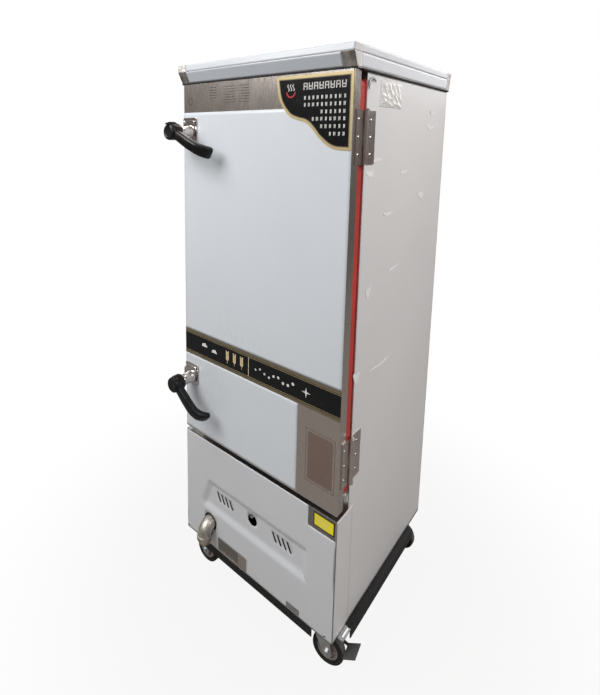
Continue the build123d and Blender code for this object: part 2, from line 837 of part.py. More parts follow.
def steam_vent():
    tip = body_rear + vent_out
    vent = rod_y(vent_radius, vent_x, vent_z, chamber_rear, tip)
    vent += rod_y(vent_collar_radius, vent_x, vent_z, body_rear, body_rear + vent_collar)
    return vent - rod_y(vent_bore, vent_x, vent_z, chamber_rear, tip)


def cable_gland():
    z = body_bottom + gland_height
    inner = body_rear - panel_sheet - gland_inner_length
    seat = body_rear + gland_nut_length
    tip = seat + gland_dome_length
    gland = rod_y(gland_radius, gland_x, z, inner, body_rear)
    gland += hex_y(gland_nut_radius, gland_x, z, body_rear, seat)
    gland += hex_y(gland_nut_radius, gland_x, z, inner, inner + gland_nut_length)
    dome = Rot(-90, 0, 0) * Cone(gland_dome_radius, gland_radius, gland_dome_length)
    gland += Pos(gland_x, (seat + tip) / 2, z) * dome
    return gland - rod_y(gland_bore, gland_x, z, inner, tip)


# Door

def latch_pockets():
    # Room inside the door for both tongues to swing, open through its left edge.
    reach = tongue_reach + tongue_tip_radius + pocket_gap
    hub = tongue_hub_radius + pocket_gap
    front = tongue_front - pocket_gap
    rear = tongue_front + tongue_thickness + pocket_gap
    rooms = []
    for z in (latch_upper_z, latch_lower_z):
        room = block(-half_width - pocket_gap, spindle_x + hub, front, rear, z - reach, z + hub)
        rooms.append(room + rod_y(spindle_radius + pocket_gap, spindle_x, z, -pocket_gap, rear))
    return rooms


def door_skin():
    skin = block(-half_width, half_width, 0, door_thickness, door_bottom, door_top)
    corners = skin.edges().filter_by(Axis.Z).group_by(Axis.Y)[0]
    skin = fillet(corners, door_edge_radius)
    skin -= block(door_sheet - half_width, half_width - door_sheet, door_sheet, door_thickness,
                  door_bottom + door_sheet, door_top - door_sheet)
    for room in latch_pockets():
        skin -= room
    return skin


def door_core():
    core = block(door_sheet - half_width, half_width - door_sheet, door_sheet, door_thickness - door_sheet,
                 door_bottom + door_sheet, door_top - door_sheet)
    for room in latch_pockets():
        core -= room
    return core


def door_liner():
    inner = half_width - door_sheet
    rear = door_thickness
    plate = block(-inner, inner, rear - door_sheet, rear, door_bottom + door_sheet, door_top - door_sheet)
    margin = gasket_width + door_plug_gap
    half = gasket_half - margin
    low = gasket_low + margin
    high = gasket_high - margin
    plug = block(-half, half, rear, rear + door_plug_depth, low, high)
    upright = plug.edges().filter_by(Axis.Y)
    plug = fillet(upright, gasket_radius)
    plug = fillet(plug.faces().sort_by(Axis.Y)[-1].edges(), door_plug_depth / 3)
    hollow = block(door_plug_depth - half, half - door_plug_depth, rear - door_sheet,
                   rear + door_plug_depth - door_sheet, low + door_plug_depth, high - door_plug_depth)
    return plate + plug - hollow


def door_gasket():
    height = gasket_high - gasket_low
    middle = (gasket_high + gasket_low) / 2
    outer = RectangleRounded(2 * gasket_half, height, gasket_radius)
    inner_half_width = gasket_half - gasket_width
    hole = RectangleRounded(2 * inner_half_width, height - 2 * gasket_width, gasket_radius / 2)
    face = Plane.XZ * (outer - hole)
    ring = Pos(0, gasket_rear, middle) * extrude(face, amount=gasket_rear - door_thickness)
    return fillet(ring.faces().sort_by(Axis.Y)[-1].edges(), gasket_width / 4)


# Hinges

def hinge_bore(z):
    half = hinge_height / 2
    return rod_z(hinge_pin_radius + running_gap, hinge_axis_x, hinge_axis_y, z - half, z + half)


def hinge_cabinet_leaves():
    leaves = []
    third = hinge_height / 3
    for z in (hinge_upper_z, hinge_lower_z):
        low = z - hinge_height / 2
        high = z + hinge_height / 2
        barrel_edge = hinge_axis_y + hinge_barrel_radius + hinge_gap
        leaf = block(half_width, half_width + hinge_sheet, barrel_edge, hinge_leaf_rear, low, high)
        for start, stop in ((low, low + third), (high - third, high)):
            leaf += rod_z(hinge_barrel_radius, hinge_axis_x, hinge_axis_y, start, stop)
            leaf += block(half_width, half_width + hinge_sheet, hinge_axis_y, barrel_edge, start, stop)
        leaf -= rod_z(hinge_pin_radius, hinge_axis_x, hinge_axis_y, low, high)
        leaves.append(leaf)
    return leaves


def hinge_door_leaves():
    leaves = []
    third = hinge_height / 3
    for z in (hinge_upper_z, hinge_lower_z):
        low = z - hinge_height / 2
        high = z + hinge_height / 2
        barrel_edge = hinge_axis_y - hinge_barrel_radius - hinge_gap
        leaf = block(half_width, half_width + hinge_sheet, hinge_leaf_front, barrel_edge, low, high)
        start = low + third + hinge_gap
        stop = high - third - hinge_gap
        leaf += rod_z(hinge_barrel_radius, hinge_axis_x, hinge_axis_y, start, stop)
        leaf += block(half_width, half_width + hinge_sheet, barrel_edge, hinge_axis_y, start, stop)
        leaves.append(leaf - hinge_bore(z))
    return leaves


def hinge_pins():
    pins = []
    for z in (hinge_upper_z, hinge_lower_z):
        half = hinge_height / 2
        pin = rod_z(hinge_pin_radius, hinge_axis_x, hinge_axis_y, z - half, z + half)
        pin += rod_z(hinge_pin_head_radius, hinge_axis_x, hinge_axis_y, z + half, z + half + hinge_pin_head)
        pins.append(pin)
    return pins


# Latches

def latch_bases():
    bases = []
    for z in (latch_upper_z, latch_lower_z):
        left = spindle_x - latch_plate_width / 2
        right = spindle_x + latch_plate_width / 2
        base = block(left, right, -latch_plate_thickness, 0, z - latch_plate_below, z + latch_plate_above)
        base = fillet(base.edges().filter_by(Axis.Y), lever_rounding)
        neck_middle = -latch_plate_thickness - latch_neck_length / 2
        neck = Rot(90, 0, 0) * Cone(latch_neck_root, latch_neck_tip, latch_neck_length)
        base += Pos(spindle_x, neck_middle, z) * neck
        base -= rod_y(spindle_radius + running_gap, spindle_x, z, neck_front, 0)
        bases.append(base)
    return bases


def latch_tongue(z, angle):
    # The spindle and the tongue on its inner end, built with the lever level, then turned.
    rear = tongue_front + tongue_thickness
    shaft = rod_y(spindle_radius, 0, 0, lever_rear - lever_socket, rear)
    tip = rod_y(tongue_tip_radius, -tongue_reach, 0, tongue_front, rear)
    hub = rod_y(tongue_hub_radius, 0, 0, tongue_front, rear)
    bar = profile_y([(-tongue_reach, -tongue_tip_radius), (0, -tongue_hub_radius),
                     (0, tongue_hub_radius), (-tongue_reach, tongue_tip_radius)], tongue_front, rear)
    turned = Rot(0, -latch_locked_angle, 0) * (tip + hub + bar)
    return Pos(spindle_x, 0, z) * Rot(0, angle, 0) * (shaft + turned)


def latch_lever(z, angle):
    # A round head on the spindle and a flat arm whose end bends back towards the door.
    front = lever_front + lever_inset
    rear = lever_rear - lever_inset / 2
    tip = lever_elbow + lever_tip_run
    side = Polyline((0, front), (lever_elbow, front), (tip, front + lever_tip_drop),
                    (tip - lever_tip_run / 2, rear + lever_tip_drop / 2),
                    (lever_elbow - lever_tip_run / 4, rear), (0, rear), close=True)
    arm = Pos(0, 0, -lever_width / 2) * extrude(make_face(side), amount=lever_width)
    arm = fillet(arm.edges().filter_by(Axis.Z).sort_by(Axis.X)[2:], lever_rounding)
    head = rod_y(lever_head_radius, 0, 0, lever_front, lever_rear)
    lever = arm + head - rod_y(spindle_radius, 0, 0, lever_rear - lever_socket, lever_rear)
    return Pos(spindle_x, 0, z) * Rot(0, angle, 0) * lever


def latch_keepers():
    keepers = []
    panel = -half_width
    outside = panel - keeper_side_gap - (tongue_reach + tongue_tip_radius - latch_x) - keeper_sheet
    hook_rear = keeper_front + keeper_hook_thickness
    foot_rear = front_depth + keeper_foot_length
    for z in (latch_upper_z, latch_lower_z):
        low = z - keeper_half_height
        high = z + keeper_half_height
        keeper = block(outside, outside + keeper_sheet, keeper_front, foot_rear - keeper_sheet, low, high)
        keeper += block(outside, panel - keeper_side_gap, keeper_front, hook_rear, low, high)
        keeper += block(outside, panel, front_depth + keeper_side_gap, foot_rear - keeper_sheet, low, high)
        keeper += block(panel - keeper_sheet, panel, front_depth + keeper_side_gap, foot_rear,
                        z - keeper_foot_half_height, z + keeper_foot_half_height)
        keepers.append(keeper)
    return keepers


# Casters

def caster_plate(x, y):
    half_x = plate_width / 2
    half_y = plate_length / 2
    plate = block(x - half_x, x + half_x, y - half_y, y + half_y, plate_low, caster_height)
    head_top = fork_crown_low - side_gap
    plate += rod_z(king_pin_radius, x, y, head_top, plate_low)
    plate += rod_z(king_pin_head_radius, x, y, head_top - king_pin_head_height, head_top)
    return plate


def caster_fork(x, y):
    crown_top = fork_crown_low + fork_crown_thickness
    crown = rod_z(fork_crown_radius, x, y, fork_crown_low, crown_top)
    crown += rod_z(fork_boss_radius, x, y, crown_top, plate_low - side_gap)
    axle_x = x + caster_trail
    half_crown = math.sqrt(fork_crown_radius ** 2 - leg_outer ** 2)
    shoulder = fork_crown_low - fork_leg_shoulder
    outline = [(x - half_crown, crown_top), (x + half_crown, crown_top), (x + half_crown, shoulder),
               (axle_x + fork_end_radius, wheel_radius), (axle_x - fork_end_radius, wheel_radius),
               (x - half_crown, shoulder)]
    for inner, outer in ((leg_inner, leg_outer), (-leg_outer, -leg_inner)):
        crown += profile_y(outline, y + inner, y + outer)
        crown += rod_y(fork_end_radius, axle_x, wheel_radius, y + inner, y + outer)
    crown += rod_y(brake_pin_radius, x + brake_pivot_x, brake_pivot_z, y + leg_outer, y + pedal_half)
    crown -= rod_z(king_pin_radius + running_gap, x, y, fork_crown_low, plate_low)
    crown -= rod_y(axle_radius, axle_x, wheel_radius, y - leg_outer, y + leg_outer)
    return crown


def caster_axle(x, y):
    axle_x = x + caster_trail
    end = leg_outer + axle_radius
    bolt = rod_y(axle_radius, axle_x, wheel_radius, y - leg_outer, y + leg_outer)
    bolt += hex_y(axle_nut_radius, axle_x, wheel_radius, y - end, y - leg_outer)
    return bolt + hex_y(axle_nut_radius, axle_x, wheel_radius, y + leg_outer, y + end)


def caster_tyre(x, y):
    half = tyre_width / 2
    shoulder = half / 3
    tyre = rod_y(wheel_radius, x + caster_trail, wheel_radius, y - half, y + half)
    tyre = fillet(tyre.edges().filter_by(GeomType.CIRCLE), shoulder)
    return tyre - rod_y(hub_radius, x + caster_trail, wheel_radius, y - half, y + half)


def caster_hub(x, y):
    axle_x = x + caster_trail
    half = hub_width / 2
    dish = half / 2
    boss = leg_inner - side_gap
    hub = rod_y(hub_radius, axle_x, wheel_radius, y - half, y + half)
    ring = hub_radius - dish
    for near, far in ((dish, half), (-half, -dish)):
        hub -= rod_y(ring, axle_x, wheel_radius, y + near, y + far)
    hub += rod_y(hub_boss_radius, axle_x, wheel_radius, y - boss, y + boss)
    return hub - rod_y(axle_radius + running_gap, axle_x, wheel_radius, y - boss, y + boss)


def brake_pedal(x, y):
    # An arm beside the rear leg of the fork, with a tread plate that slopes up beyond the wheel.
    inner = leg_outer + side_gap
    near = x + brake_pivot_x - brake_eye
    far = x + brake_pivot_x + brake_eye
    low = brake_pivot_z - brake_eye
    high = brake_pivot_z + brake_eye
    start = x + brake_pad_start
    end = x + brake_reach
    tread = [(start, brake_pad_low), (end, brake_tip), (end, brake_tip - brake_pad_thickness),
             (start, brake_pad_low - brake_pad_thickness)]
    arm = [(near, low), (near, high), (far, high)] + tread[:3] + [(start, brake_pad_low - brake_arm_depth)]
    pedal = profile_y(arm, y + inner, y + pedal_half) + profile_y(tread, y - pedal_half, y + inner)
    hole = brake_pin_radius + running_gap
    return pedal - rod_y(hole, x + brake_pivot_x, brake_pivot_z, y + inner, y + pedal_half)


def front_strap(side):
    # A slotted strap beside the body, from the side rail to a foot under the front caster plate.
    across = [half_width + strap_gap, half_width + strap_slot_start, half_width + strap_slot_end,
              half_width + rail_outboard]
    plate_edge = caster_x + plate_width / 2
    front = caster_front_y - strap_setback
    bars = []
    for inner, outer in (across[:2], across[2:]):
        low, high = sorted((side * inner, side * outer))
        bars.append(block(low, high, front, side_rail_start, caster_height, caster_height + strap_sheet))
    low, high = sorted((side * plate_edge, side * across[3]))
    bars.append(block(low, high, front, front + strap_width, plate_low, caster_height))
    return bars


def turned(solid, corner):
    # A piece of one caster, turned about its king pin to where it stands.
    x, y = caster_places()[corner]
    angle = front_right_turn if corner == "front_right" else 0
    return Pos(x, y, 0) * Rot(0, 0, angle) * Pos(-x, -y, 0) * solid


# Screws

def dome_head(direction):
    # A low round head that stands on its seat along the given direction.
    head = Cone(screw_head_radius, screw_head_radius / 2, screw_head_height,
                align=(Align.CENTER, Align.CENTER, Align.MIN))
    return Plane(origin=(0, 0, 0), z_dir=direction) * head


def screw_heights(z):
    return [z + step * hinge_screw_pitch for step in (-1, 0, 1)]


def panel_screws():
    right = dome_head((1, 0, 0))
    left = dome_head((-1, 0, 0))
    forward = dome_head((0, -1, 0))
    rearward = dome_head((0, 1, 0))
    down = dome_head((0, 0, -1))
    heads = []
    leaf_y = (hinge_axis_y + hinge_barrel_radius + hinge_leaf_rear) / 2
    for z in (hinge_upper_z, hinge_lower_z):
        heads += [Pos(half_width + hinge_sheet, leaf_y, level) * right for level in screw_heights(z)]
    foot_y = front_depth + keeper_foot_length / 2
    for z in (latch_upper_z, latch_lower_z):
        for step in (-keeper_screw_spread, keeper_screw_spread):
            heads.append(Pos(-half_width - keeper_sheet, foot_y, z + step) * left)
    for x in (cover_screw_left_inset - half_width, half_width - cover_screw_right_inset):
        heads.append(Pos(x, 0, body_bottom + cover_screw_height) * forward)
    across = body_width - 2 * rear_screw_margin
    tall = body_height - 2 * rear_screw_margin
    for column in range(rear_screw_columns):
        x = rear_screw_margin - half_width + across * column / (rear_screw_columns - 1)
        for row in range(rear_screw_rows):
            z = body_bottom + rear_screw_margin + tall * row / (rear_screw_rows - 1)
            heads.append(Pos(x, body_rear, z) * rearward)
    for x, y in caster_places().values():
        for side_x in (-1, 1):
            for side_y in (-1, 1):
                bolt_x = x + side_x * (plate_width / 2 - plate_bolt_inset)
                bolt_y = y + side_y * (plate_length / 2 - plate_bolt_inset)
                heads.append(Pos(bolt_x, bolt_y, plate_low) * down)
    return heads


def door_screws():
    right = dome_head((1, 0, 0))
    forward = dome_head((0, -1, 0))
    heads = []
    leaf_y = (hinge_leaf_front + door_thickness) / 2
    for z in (hinge_upper_z, hinge_lower_z):
        heads += [Pos(half_width + hinge_sheet, leaf_y, level) * right for level in screw_heights(z)]
    spread = latch_plate_width / 2 - 2 * screw_head_radius
    for z in (latch_upper_z, latch_lower_z):
        for x in (spindle_x - spread, spindle_x + spread):
            heads.append(Pos(x, -latch_plate_thickness, z + latch_plate_above - 2 * screw_head_radius) * forward)
    return heads


def caster_places():
    return {"front_left": (-caster_x, caster_front_y), "front_right": (caster_x, caster_front_y),
            "rear_left": (-caster_x, caster_rear_y), "rear_right": (caster_x, caster_rear_y)}


def save(name, *solids):
    # Moves the origin to the middle of the outline and writes one node.
    placed = [Pos(-middle_x, -middle_y, 0) * solid for solid in solids]
    shape = placed[0] if len(placed) == 1 else Compound(children=placed)
    export_step(shape, "parts/" + name + ".step")


def main():
    os.makedirs("parts", exist_ok=True)
    save("base_frame", base_frame())
    save("cabinet_floor", cabinet_floor())
    save("left_side_panel", side_panel(-1))
    save("right_side_panel", side_panel(1))
    save("back_panel", back_panel())
    save("top_cap", top_cap())
    save("lower_front_cover", lower_front_cover())
    save("front_frame", front_frame())
    save("chamber_liner", *chamber_liner())
    save("insulation", insulation())
    save("left_tray_rack", *tray_rack(-1))
    save("right_tray_rack", *tray_rack(1))
    save("trays", *trays())
    save("water_tank", *water_tank())
    save("steam_baffle", *steam_baffle())
    save("heating_elements", *heating_elements())
    save("element_flange", element_flange())
    save("terminal_box", terminal_box())
    save("drain_pipe", drain_pipe())
    save("drain_valve_body", drain_valve_body())
    save("drain_valve_handle", drain_valve_handle())
    save("drain_elbow", drain_elbow())
    save("float_box", *float_box())
    save("float_box_lid", *float_box_lid())
    save("feed_pipe", feed_pipe())
    save("float_valve", float_valve())
    save("float_arm", float_arm())
    save("float_ball", float_ball())
    save("steam_vent", steam_vent())
    save("cable_gland", cable_gland())
    save("door_skin", door_skin())
    save("door_core", door_core())
    save("door_liner", door_liner())
    save("door_gasket", door_gasket())
    save("hinge_cabinet_leaves", *hinge_cabinet_leaves())
    save("hinge_door_leaves", *hinge_door_leaves())
    save("hinge_pins", *hinge_pins())
    save("latch_bases", *latch_bases())
    save("upper_latch_lever", latch_lever(latch_upper_z, latch_upper_angle))
    save("upper_latch_tongue", latch_tongue(latch_upper_z, latch_upper_angle))
    save("lower_latch_lever", latch_lever(latch_lower_z, latch_lower_angle))
    save("lower_latch_tongue", latch_tongue(latch_lower_z, latch_lower_angle))
    save("latch_keepers", *latch_keepers())
    save("panel_screws", *panel_screws())
    save("door_screws", *door_screws())
    plates = [caster_plate(x, y) for x, y in caster_places().values()]
    save("caster_plates", *plates, *front_strap(-1), *front_strap(1))
    for corner, (x, y) in caster_places().items():
        save(corner + "_fork", turned(caster_fork(x, y), corner), turned(caster_axle(x, y), corner))
        save(corner + "_tyre", turned(caster_tyre(x, y), corner))
        save(corner + "_hub", turned(caster_hub(x, y), corner))
        if corner.startswith("front"):
            save(corner + "_brake_pedal", turned(brake_pedal(x, y), corner))


if __name__ == "__main__":
    main()
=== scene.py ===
import json
import math
from itertools import product
import bmesh
import bpy
import numpy as np
from mathutils import Matrix, Vector
from mathutils.geometry import delaunay_2d_cdt


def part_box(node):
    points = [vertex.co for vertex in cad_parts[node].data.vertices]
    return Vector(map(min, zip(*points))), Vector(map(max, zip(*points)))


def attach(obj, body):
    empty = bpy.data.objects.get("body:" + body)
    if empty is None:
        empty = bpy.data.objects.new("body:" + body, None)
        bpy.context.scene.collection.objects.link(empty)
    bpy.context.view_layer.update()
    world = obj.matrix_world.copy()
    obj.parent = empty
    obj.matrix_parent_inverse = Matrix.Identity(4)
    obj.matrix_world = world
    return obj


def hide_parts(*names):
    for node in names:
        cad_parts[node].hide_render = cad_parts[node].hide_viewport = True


# Looks of the electric rice steamer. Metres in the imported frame; piece sizes are in mm.

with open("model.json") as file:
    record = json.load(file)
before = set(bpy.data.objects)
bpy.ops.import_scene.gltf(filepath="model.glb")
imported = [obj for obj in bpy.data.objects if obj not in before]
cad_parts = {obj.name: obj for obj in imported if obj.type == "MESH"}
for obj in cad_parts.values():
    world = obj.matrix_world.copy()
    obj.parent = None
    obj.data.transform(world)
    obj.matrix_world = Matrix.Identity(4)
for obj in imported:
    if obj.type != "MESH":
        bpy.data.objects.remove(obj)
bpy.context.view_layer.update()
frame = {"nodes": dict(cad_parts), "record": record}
scene = bpy.context.scene
mm = 0.001
print("frame loaded:", len(frame["nodes"]), "nodes")


# Camera

eye = {
    "place": (0.81118, -1.25424, 1.49844),
    "heading": 40.232, "tilt": -8.025, "roll": 0.787,  # degrees
    "lens": 23.476, "sensor": 36, "shift": (0.05575, -0.20666),
}


def makeCamera():
    # a level view along +Y, rolled, tilted up, then turned left
    data = bpy.data.cameras.new("camera")
    data.sensor_width, data.lens = eye["sensor"], eye["lens"]
    data.shift_x, data.shift_y = eye["shift"]
    data.dof.use_dof = False
    camera = bpy.data.objects.new("camera", data)
    scene.collection.objects.link(camera)
    heading, tilt, roll = (math.radians(angle) for angle in (eye["heading"], 90 + eye["tilt"], eye["roll"]))
    camera.matrix_world = (Matrix.Translation(eye["place"]) @ Matrix.Rotation(heading, 4, "Z")
                           @ Matrix.Rotation(tilt, 4, "X") @ Matrix.Rotation(roll, 4, "Z"))
    scene.camera = camera


makeCamera()


# Node trees

def addNode(tree, kind, values=None, **settings):
    # a node with settings as its attributes and values as its sockets' constants
    node = tree.nodes.new(kind)
    for key, value in settings.items():
        setattr(node, key, value)
    for socket, value in (values or {}).items():
        node.inputs[socket].default_value = value
    return node


def wire(tree, *pairs):
    # links, each from an output to an input
    for source, target in pairs:
        tree.links.new(source, target)


def fillRamp(ramp, stops):
    # the stops of a colour ramp, each a position and a tone
    while len(ramp.elements) > 1:
        ramp.elements.remove(ramp.elements[-1])
    ramp.elements[0].position = stops[0][0]
    ramp.elements[0].color = (*stops[0][1], 1)
    for position, colour in stops[1:]:
        ramp.elements.new(position).color = (*colour, 1)


class Nodes:
    # one material's node tree, with short calls for the nodes that every finish uses

    def __init__(self, name):
        self.material = bpy.data.materials.new(name)
        self.material.use_nodes = True
        self.tree = self.material.node_tree
        self.shader = self.tree.nodes["Principled BSDF"]
        self.place = self.new("ShaderNodeTexCoord").outputs["Object"]

    def new(self, kind, values=None, **settings):
        return addNode(self.tree, kind, values, **settings)

    def fixed(self, **values):
        for key, value in values.items():
            self.shader.inputs[key.replace("_", " ")].default_value = value

    def noise(self, scale, stretch=(1, 1, 1), detail=3.0, rough=0.55):
        mapping = self.new("ShaderNodeMapping", {"Scale": stretch})
        noise = self.new("ShaderNodeTexNoise", {"Scale": scale, "Detail": detail, "Roughness": rough})
        wire(self.tree, (self.place, mapping.inputs["Vector"]), (mapping.outputs[0], noise.inputs["Vector"]))
        return noise.outputs["Fac"]

    def ramp(self, source, *stops):
        node = self.new("ShaderNodeValToRGB")
        fillRamp(node.color_ramp, stops)
        wire(self.tree, (source, node.inputs[0]))
        return node.outputs["Color"]

    def span(self, source, low, high, start=0.3, stop=0.7):
        # source from start to stop becomes low to high
        node = self.new("ShaderNodeMapRange",
                        {"From Min": start, "From Max": stop, "To Min": low, "To Max": high})
        wire(self.tree, (source, node.inputs["Value"]))
        return node.outputs[0]

    def mix(self, amount, first, second):
        # colours may be sockets or plain tones
        node = self.new("ShaderNodeMix", data_type="RGBA")
        for socket, value in ((node.inputs[0], amount), (node.inputs[6], first), (node.inputs[7], second)):
            if isinstance(value, bpy.types.NodeSocket):
                wire(self.tree, (value, socket))
            else:
                socket.default_value = (*value, 1)
        return node.outputs[2]

    def sum(self, first, second, weight):
        # first plus weight times second
        node = self.new("ShaderNodeMath", {1: weight}, operation="MULTIPLY_ADD")
        wire(self.tree, (second, node.inputs[0]), (first, node.inputs[2]))
        return node.outputs[0]

    def finish(self, colour, gloss, height, strength, distance, **values):
        # colour, roughness and a bump from height; values are the shader's constants
        bump = self.new("ShaderNodeBump", {"Strength": strength, "Distance": distance})
        wire(self.tree, (colour, self.shader.inputs["Base Color"]), (gloss, self.shader.inputs["Roughness"]),
             (height, bump.inputs["Height"]), (bump.outputs[0], self.shader.inputs["Normal"]))
        self.fixed(**values)
        return self.material


# Light and floor

lamps = {  # place, target, size in metres, power, tint
    "keyLamp": ((-0.9, -2.1, 2.9), (0, 0, 1.2), 1.6, 62, (1.0, 0.99, 0.97)),
    "sideLamp": ((2.1, 0.2, 2.7), (0.2, 0, 1.3), 1.5, 38, (1.0, 0.98, 0.96)),
    "backLamp": ((0.6, 3.0, 2.8), (0, 0, 0.9), 2.0, 26, (0.97, 0.98, 1.0)),
    "leftLamp": ((-3.0, 0.6, 2.2), (0, 0, 0.9), 1.8, 16, (1.0, 1.0, 1.0)),
}


def makeLamps():
    # square lamps, each turned from its place towards its target
    for name, (place, target, size, power, tint) in lamps.items():
        data = bpy.data.lights.new(name, "AREA")
        data.shape, data.size, data.energy, data.color = "SQUARE", size, power, tint
        holder = bpy.data.objects.new(name, data)
        scene.collection.objects.link(holder)
        aim = (Vector(target) - Vector(place)).to_track_quat("-Z", "Y")
        holder.matrix_world = Matrix.Translation(place) @ aim.to_matrix().to_4x4()


room = {
    "seen": (1.0, 1.0, 1.0),
    "bands": [(0.00, (0.30, 0.29, 0.28)), (0.42, (0.22, 0.21, 0.20)), (0.50, (0.36, 0.325, 0.305)),
              (0.57, (0.42, 0.41, 0.40)), (0.70, (0.92, 0.93, 0.95)), (1.00, (1.0, 1.0, 1.0))],
    "strength": 0.50, "floor": (0.25, 0.235, 0.22), "floorHalf": 9.0,
    "shade": (0.45, 1.3), "veil": 0.90,  # metres over which the floor seen runs to white, and its start
}


def makeRoom():
    # a world in bands of grey by height, that the camera itself sees as plain white
    world = bpy.data.worlds.new("room")
    scene.world = world
    world.use_nodes = True
    tree = world.node_tree
    tree.nodes.clear()
    lit = addNode(tree, "ShaderNodeBackground", {"Strength": room["strength"]})
    seen = addNode(tree, "ShaderNodeBackground", {"Color": (*room["seen"], 1)})
    way, split = addNode(tree, "ShaderNodeTexCoord"), addNode(tree, "ShaderNodeSeparateXYZ")
    height = addNode(tree, "ShaderNodeMapRange", {"From Min": -1})
    bands = addNode(tree, "ShaderNodeValToRGB")
    fillRamp(bands.color_ramp, room["bands"])
    direct, pick = addNode(tree, "ShaderNodeLightPath"), addNode(tree, "ShaderNodeMixShader")
    out = addNode(tree, "ShaderNodeOutputWorld")
    wire(tree, (way.outputs["Generated"], split.inputs[0]), (split.outputs["Z"], height.inputs["Value"]),
         (height.outputs[0], bands.inputs[0]), (bands.outputs[0], lit.inputs["Color"]),
         (direct.outputs["Is Camera Ray"], pick.inputs[0]), (lit.outputs[0], pick.inputs[1]),
         (seen.outputs[0], pick.inputs[2]), (pick.outputs[0], out.inputs["Surface"]))
    scene.view_settings.view_transform = "Standard"


def makeFloor():
    # white paper that, as the camera sees it, runs out to plain white away from the cabinet
    make = Nodes("floorPaper")
    make.fixed(Base_Color=(*room["floor"], 1), Roughness=0.9, Specular_IOR_Level=0.1)
    plain = make.new("ShaderNodeEmission", {"Color": (*room["seen"], 1)})
    reach = make.new("ShaderNodeVectorMath", operation="LENGTH")
    near, far = room["shade"]
    spread = make.new("ShaderNodeMapRange", {"From Min": near, "From Max": far, "To Min": room["veil"]},
                      interpolation_type="SMOOTHSTEP")
    direct, pick = make.new("ShaderNodeLightPath"), make.new("ShaderNodeMixShader")
    seen = make.new("ShaderNodeMath", operation="MULTIPLY")
    wire(make.tree, (make.place, reach.inputs[0]), (reach.outputs["Value"], spread.inputs["Value"]),
         (spread.outputs[0], seen.inputs[0]), (direct.outputs["Is Camera Ray"], seen.inputs[1]),
         (seen.outputs[0], pick.inputs[0]), (make.shader.outputs[0], pick.inputs[1]),
         (plain.outputs[0], pick.inputs[2]),
         (pick.outputs[0], make.tree.nodes["Material Output"].inputs["Surface"]))
    half = room["floorHalf"]
    mesh = bpy.data.meshes.new("floor")
    corners = [(-half, -half, 0), (half, -half, 0), (half, half, 0), (-half, half, 0)]
    mesh.from_pydata(corners, [], [(0, 1, 2, 3)])
    mesh.materials.append(make.material)
    floor = bpy.data.objects.new("floor", mesh)
    scene.collection.objects.link(floor)


makeLamps()
makeRoom()
makeFloor()
print("camera, lamps and floor ready")


# Finishes

def toned(tone, factor, more=0.0):
    # a tone made darker or lighter, at most white
    return tuple(min(1.0, c * factor + more) for c in tone)


def brushedSteel(name, tone, rough=(0.22, 0.36), smear=1.0):
    # rolled stainless sheet: fine upright scratches, cloudy patches and handling marks
    make = Nodes(name)
    grain = make.noise(2200.0, (1, 1, 0.01), 2.0)
    cloud = make.noise(3.5, (1, 1, 0.6), 4.0)
    marks = make.noise(38.0, (1, 1, 0.35), 5.0, 0.7)
    dark, light = toned(tone, 1 - 0.16 * smear), toned(tone, 1 + 0.06 * smear)
    base = make.ramp(grain, (0.25, dark), (0.5, tone), (0.8, light))
    colour = make.mix(make.span(cloud, 0.0, 0.28 * smear), base, toned(tone, 0.80))
    gloss = make.span(make.sum(grain, marks, 0.5), *rough, 0.45, 1.05)
    return make.finish(colour, gloss, grain, 0.03, 0.0003, Metallic=1.0, Anisotropic=0.35)


def mirrorSteel(name, tone, rough):
    # polished sheet with light wiping marks
    make = Nodes(name)
    wipe = make.noise(26.0, (1, 1, 0.25), 5.0, 0.65)
    wave = make.noise(6.0, (1, 1, 1), 2.0)
    colour = make.ramp(wipe, (0.3, toned(tone, 0.9)), (0.7, tone))
    return make.finish(colour, make.span(wipe, *rough), wave, 0.12, 0.004, Metallic=1.0)


def dentedSteel(name, tone, rough):
    # polished sheet folded by hand: shallow dents that break up what it mirrors, with painted shade in the
    # folds and a painted highlight on the raised dents
    make = Nodes(name)
    dents = make.noise(34.0, (1, 1, 0.5), 3.0, 0.6)
    haze = make.noise(70.0, (1, 1, 1), 5.0, 0.7)
    # painted shade in the low dents, painted highlight on the high ones
    colour = make.ramp(dents, (0.32, toned(tone, 0.35)), (0.5, tone), (0.68, toned(tone, 1.5)))
    return make.finish(colour, make.span(haze, *rough), dents, 0.5, 0.006, Metallic=1.0)


def plated(name, tone, rough, cast=0.0, dull=0.25, distance=0.0006):
    # zinc, nickel or chrome plating: mottled, with dull spots and a slightly uneven skin
    make = Nodes(name)
    mottle = make.noise(55.0, (1, 1, 1), 5.0, 0.6)
    spots = make.noise(190.0, (1, 1, 1), 3.0, 0.7)
    shade = make.ramp(mottle, (0.3, toned(tone, 1 - dull)), (0.55, tone), (0.8, toned(tone, 1.08)))
    colour = make.mix(make.span(spots, 0.0, 0.35, 0.55, 0.8), shade, toned(tone, 0.55))
    gloss = make.span(make.sum(mottle, spots, 0.5), *rough, 0.5, 1.0)
    return make.finish(colour, gloss, spots if cast else mottle, 0.15 + cast, distance, Metallic=1.0)


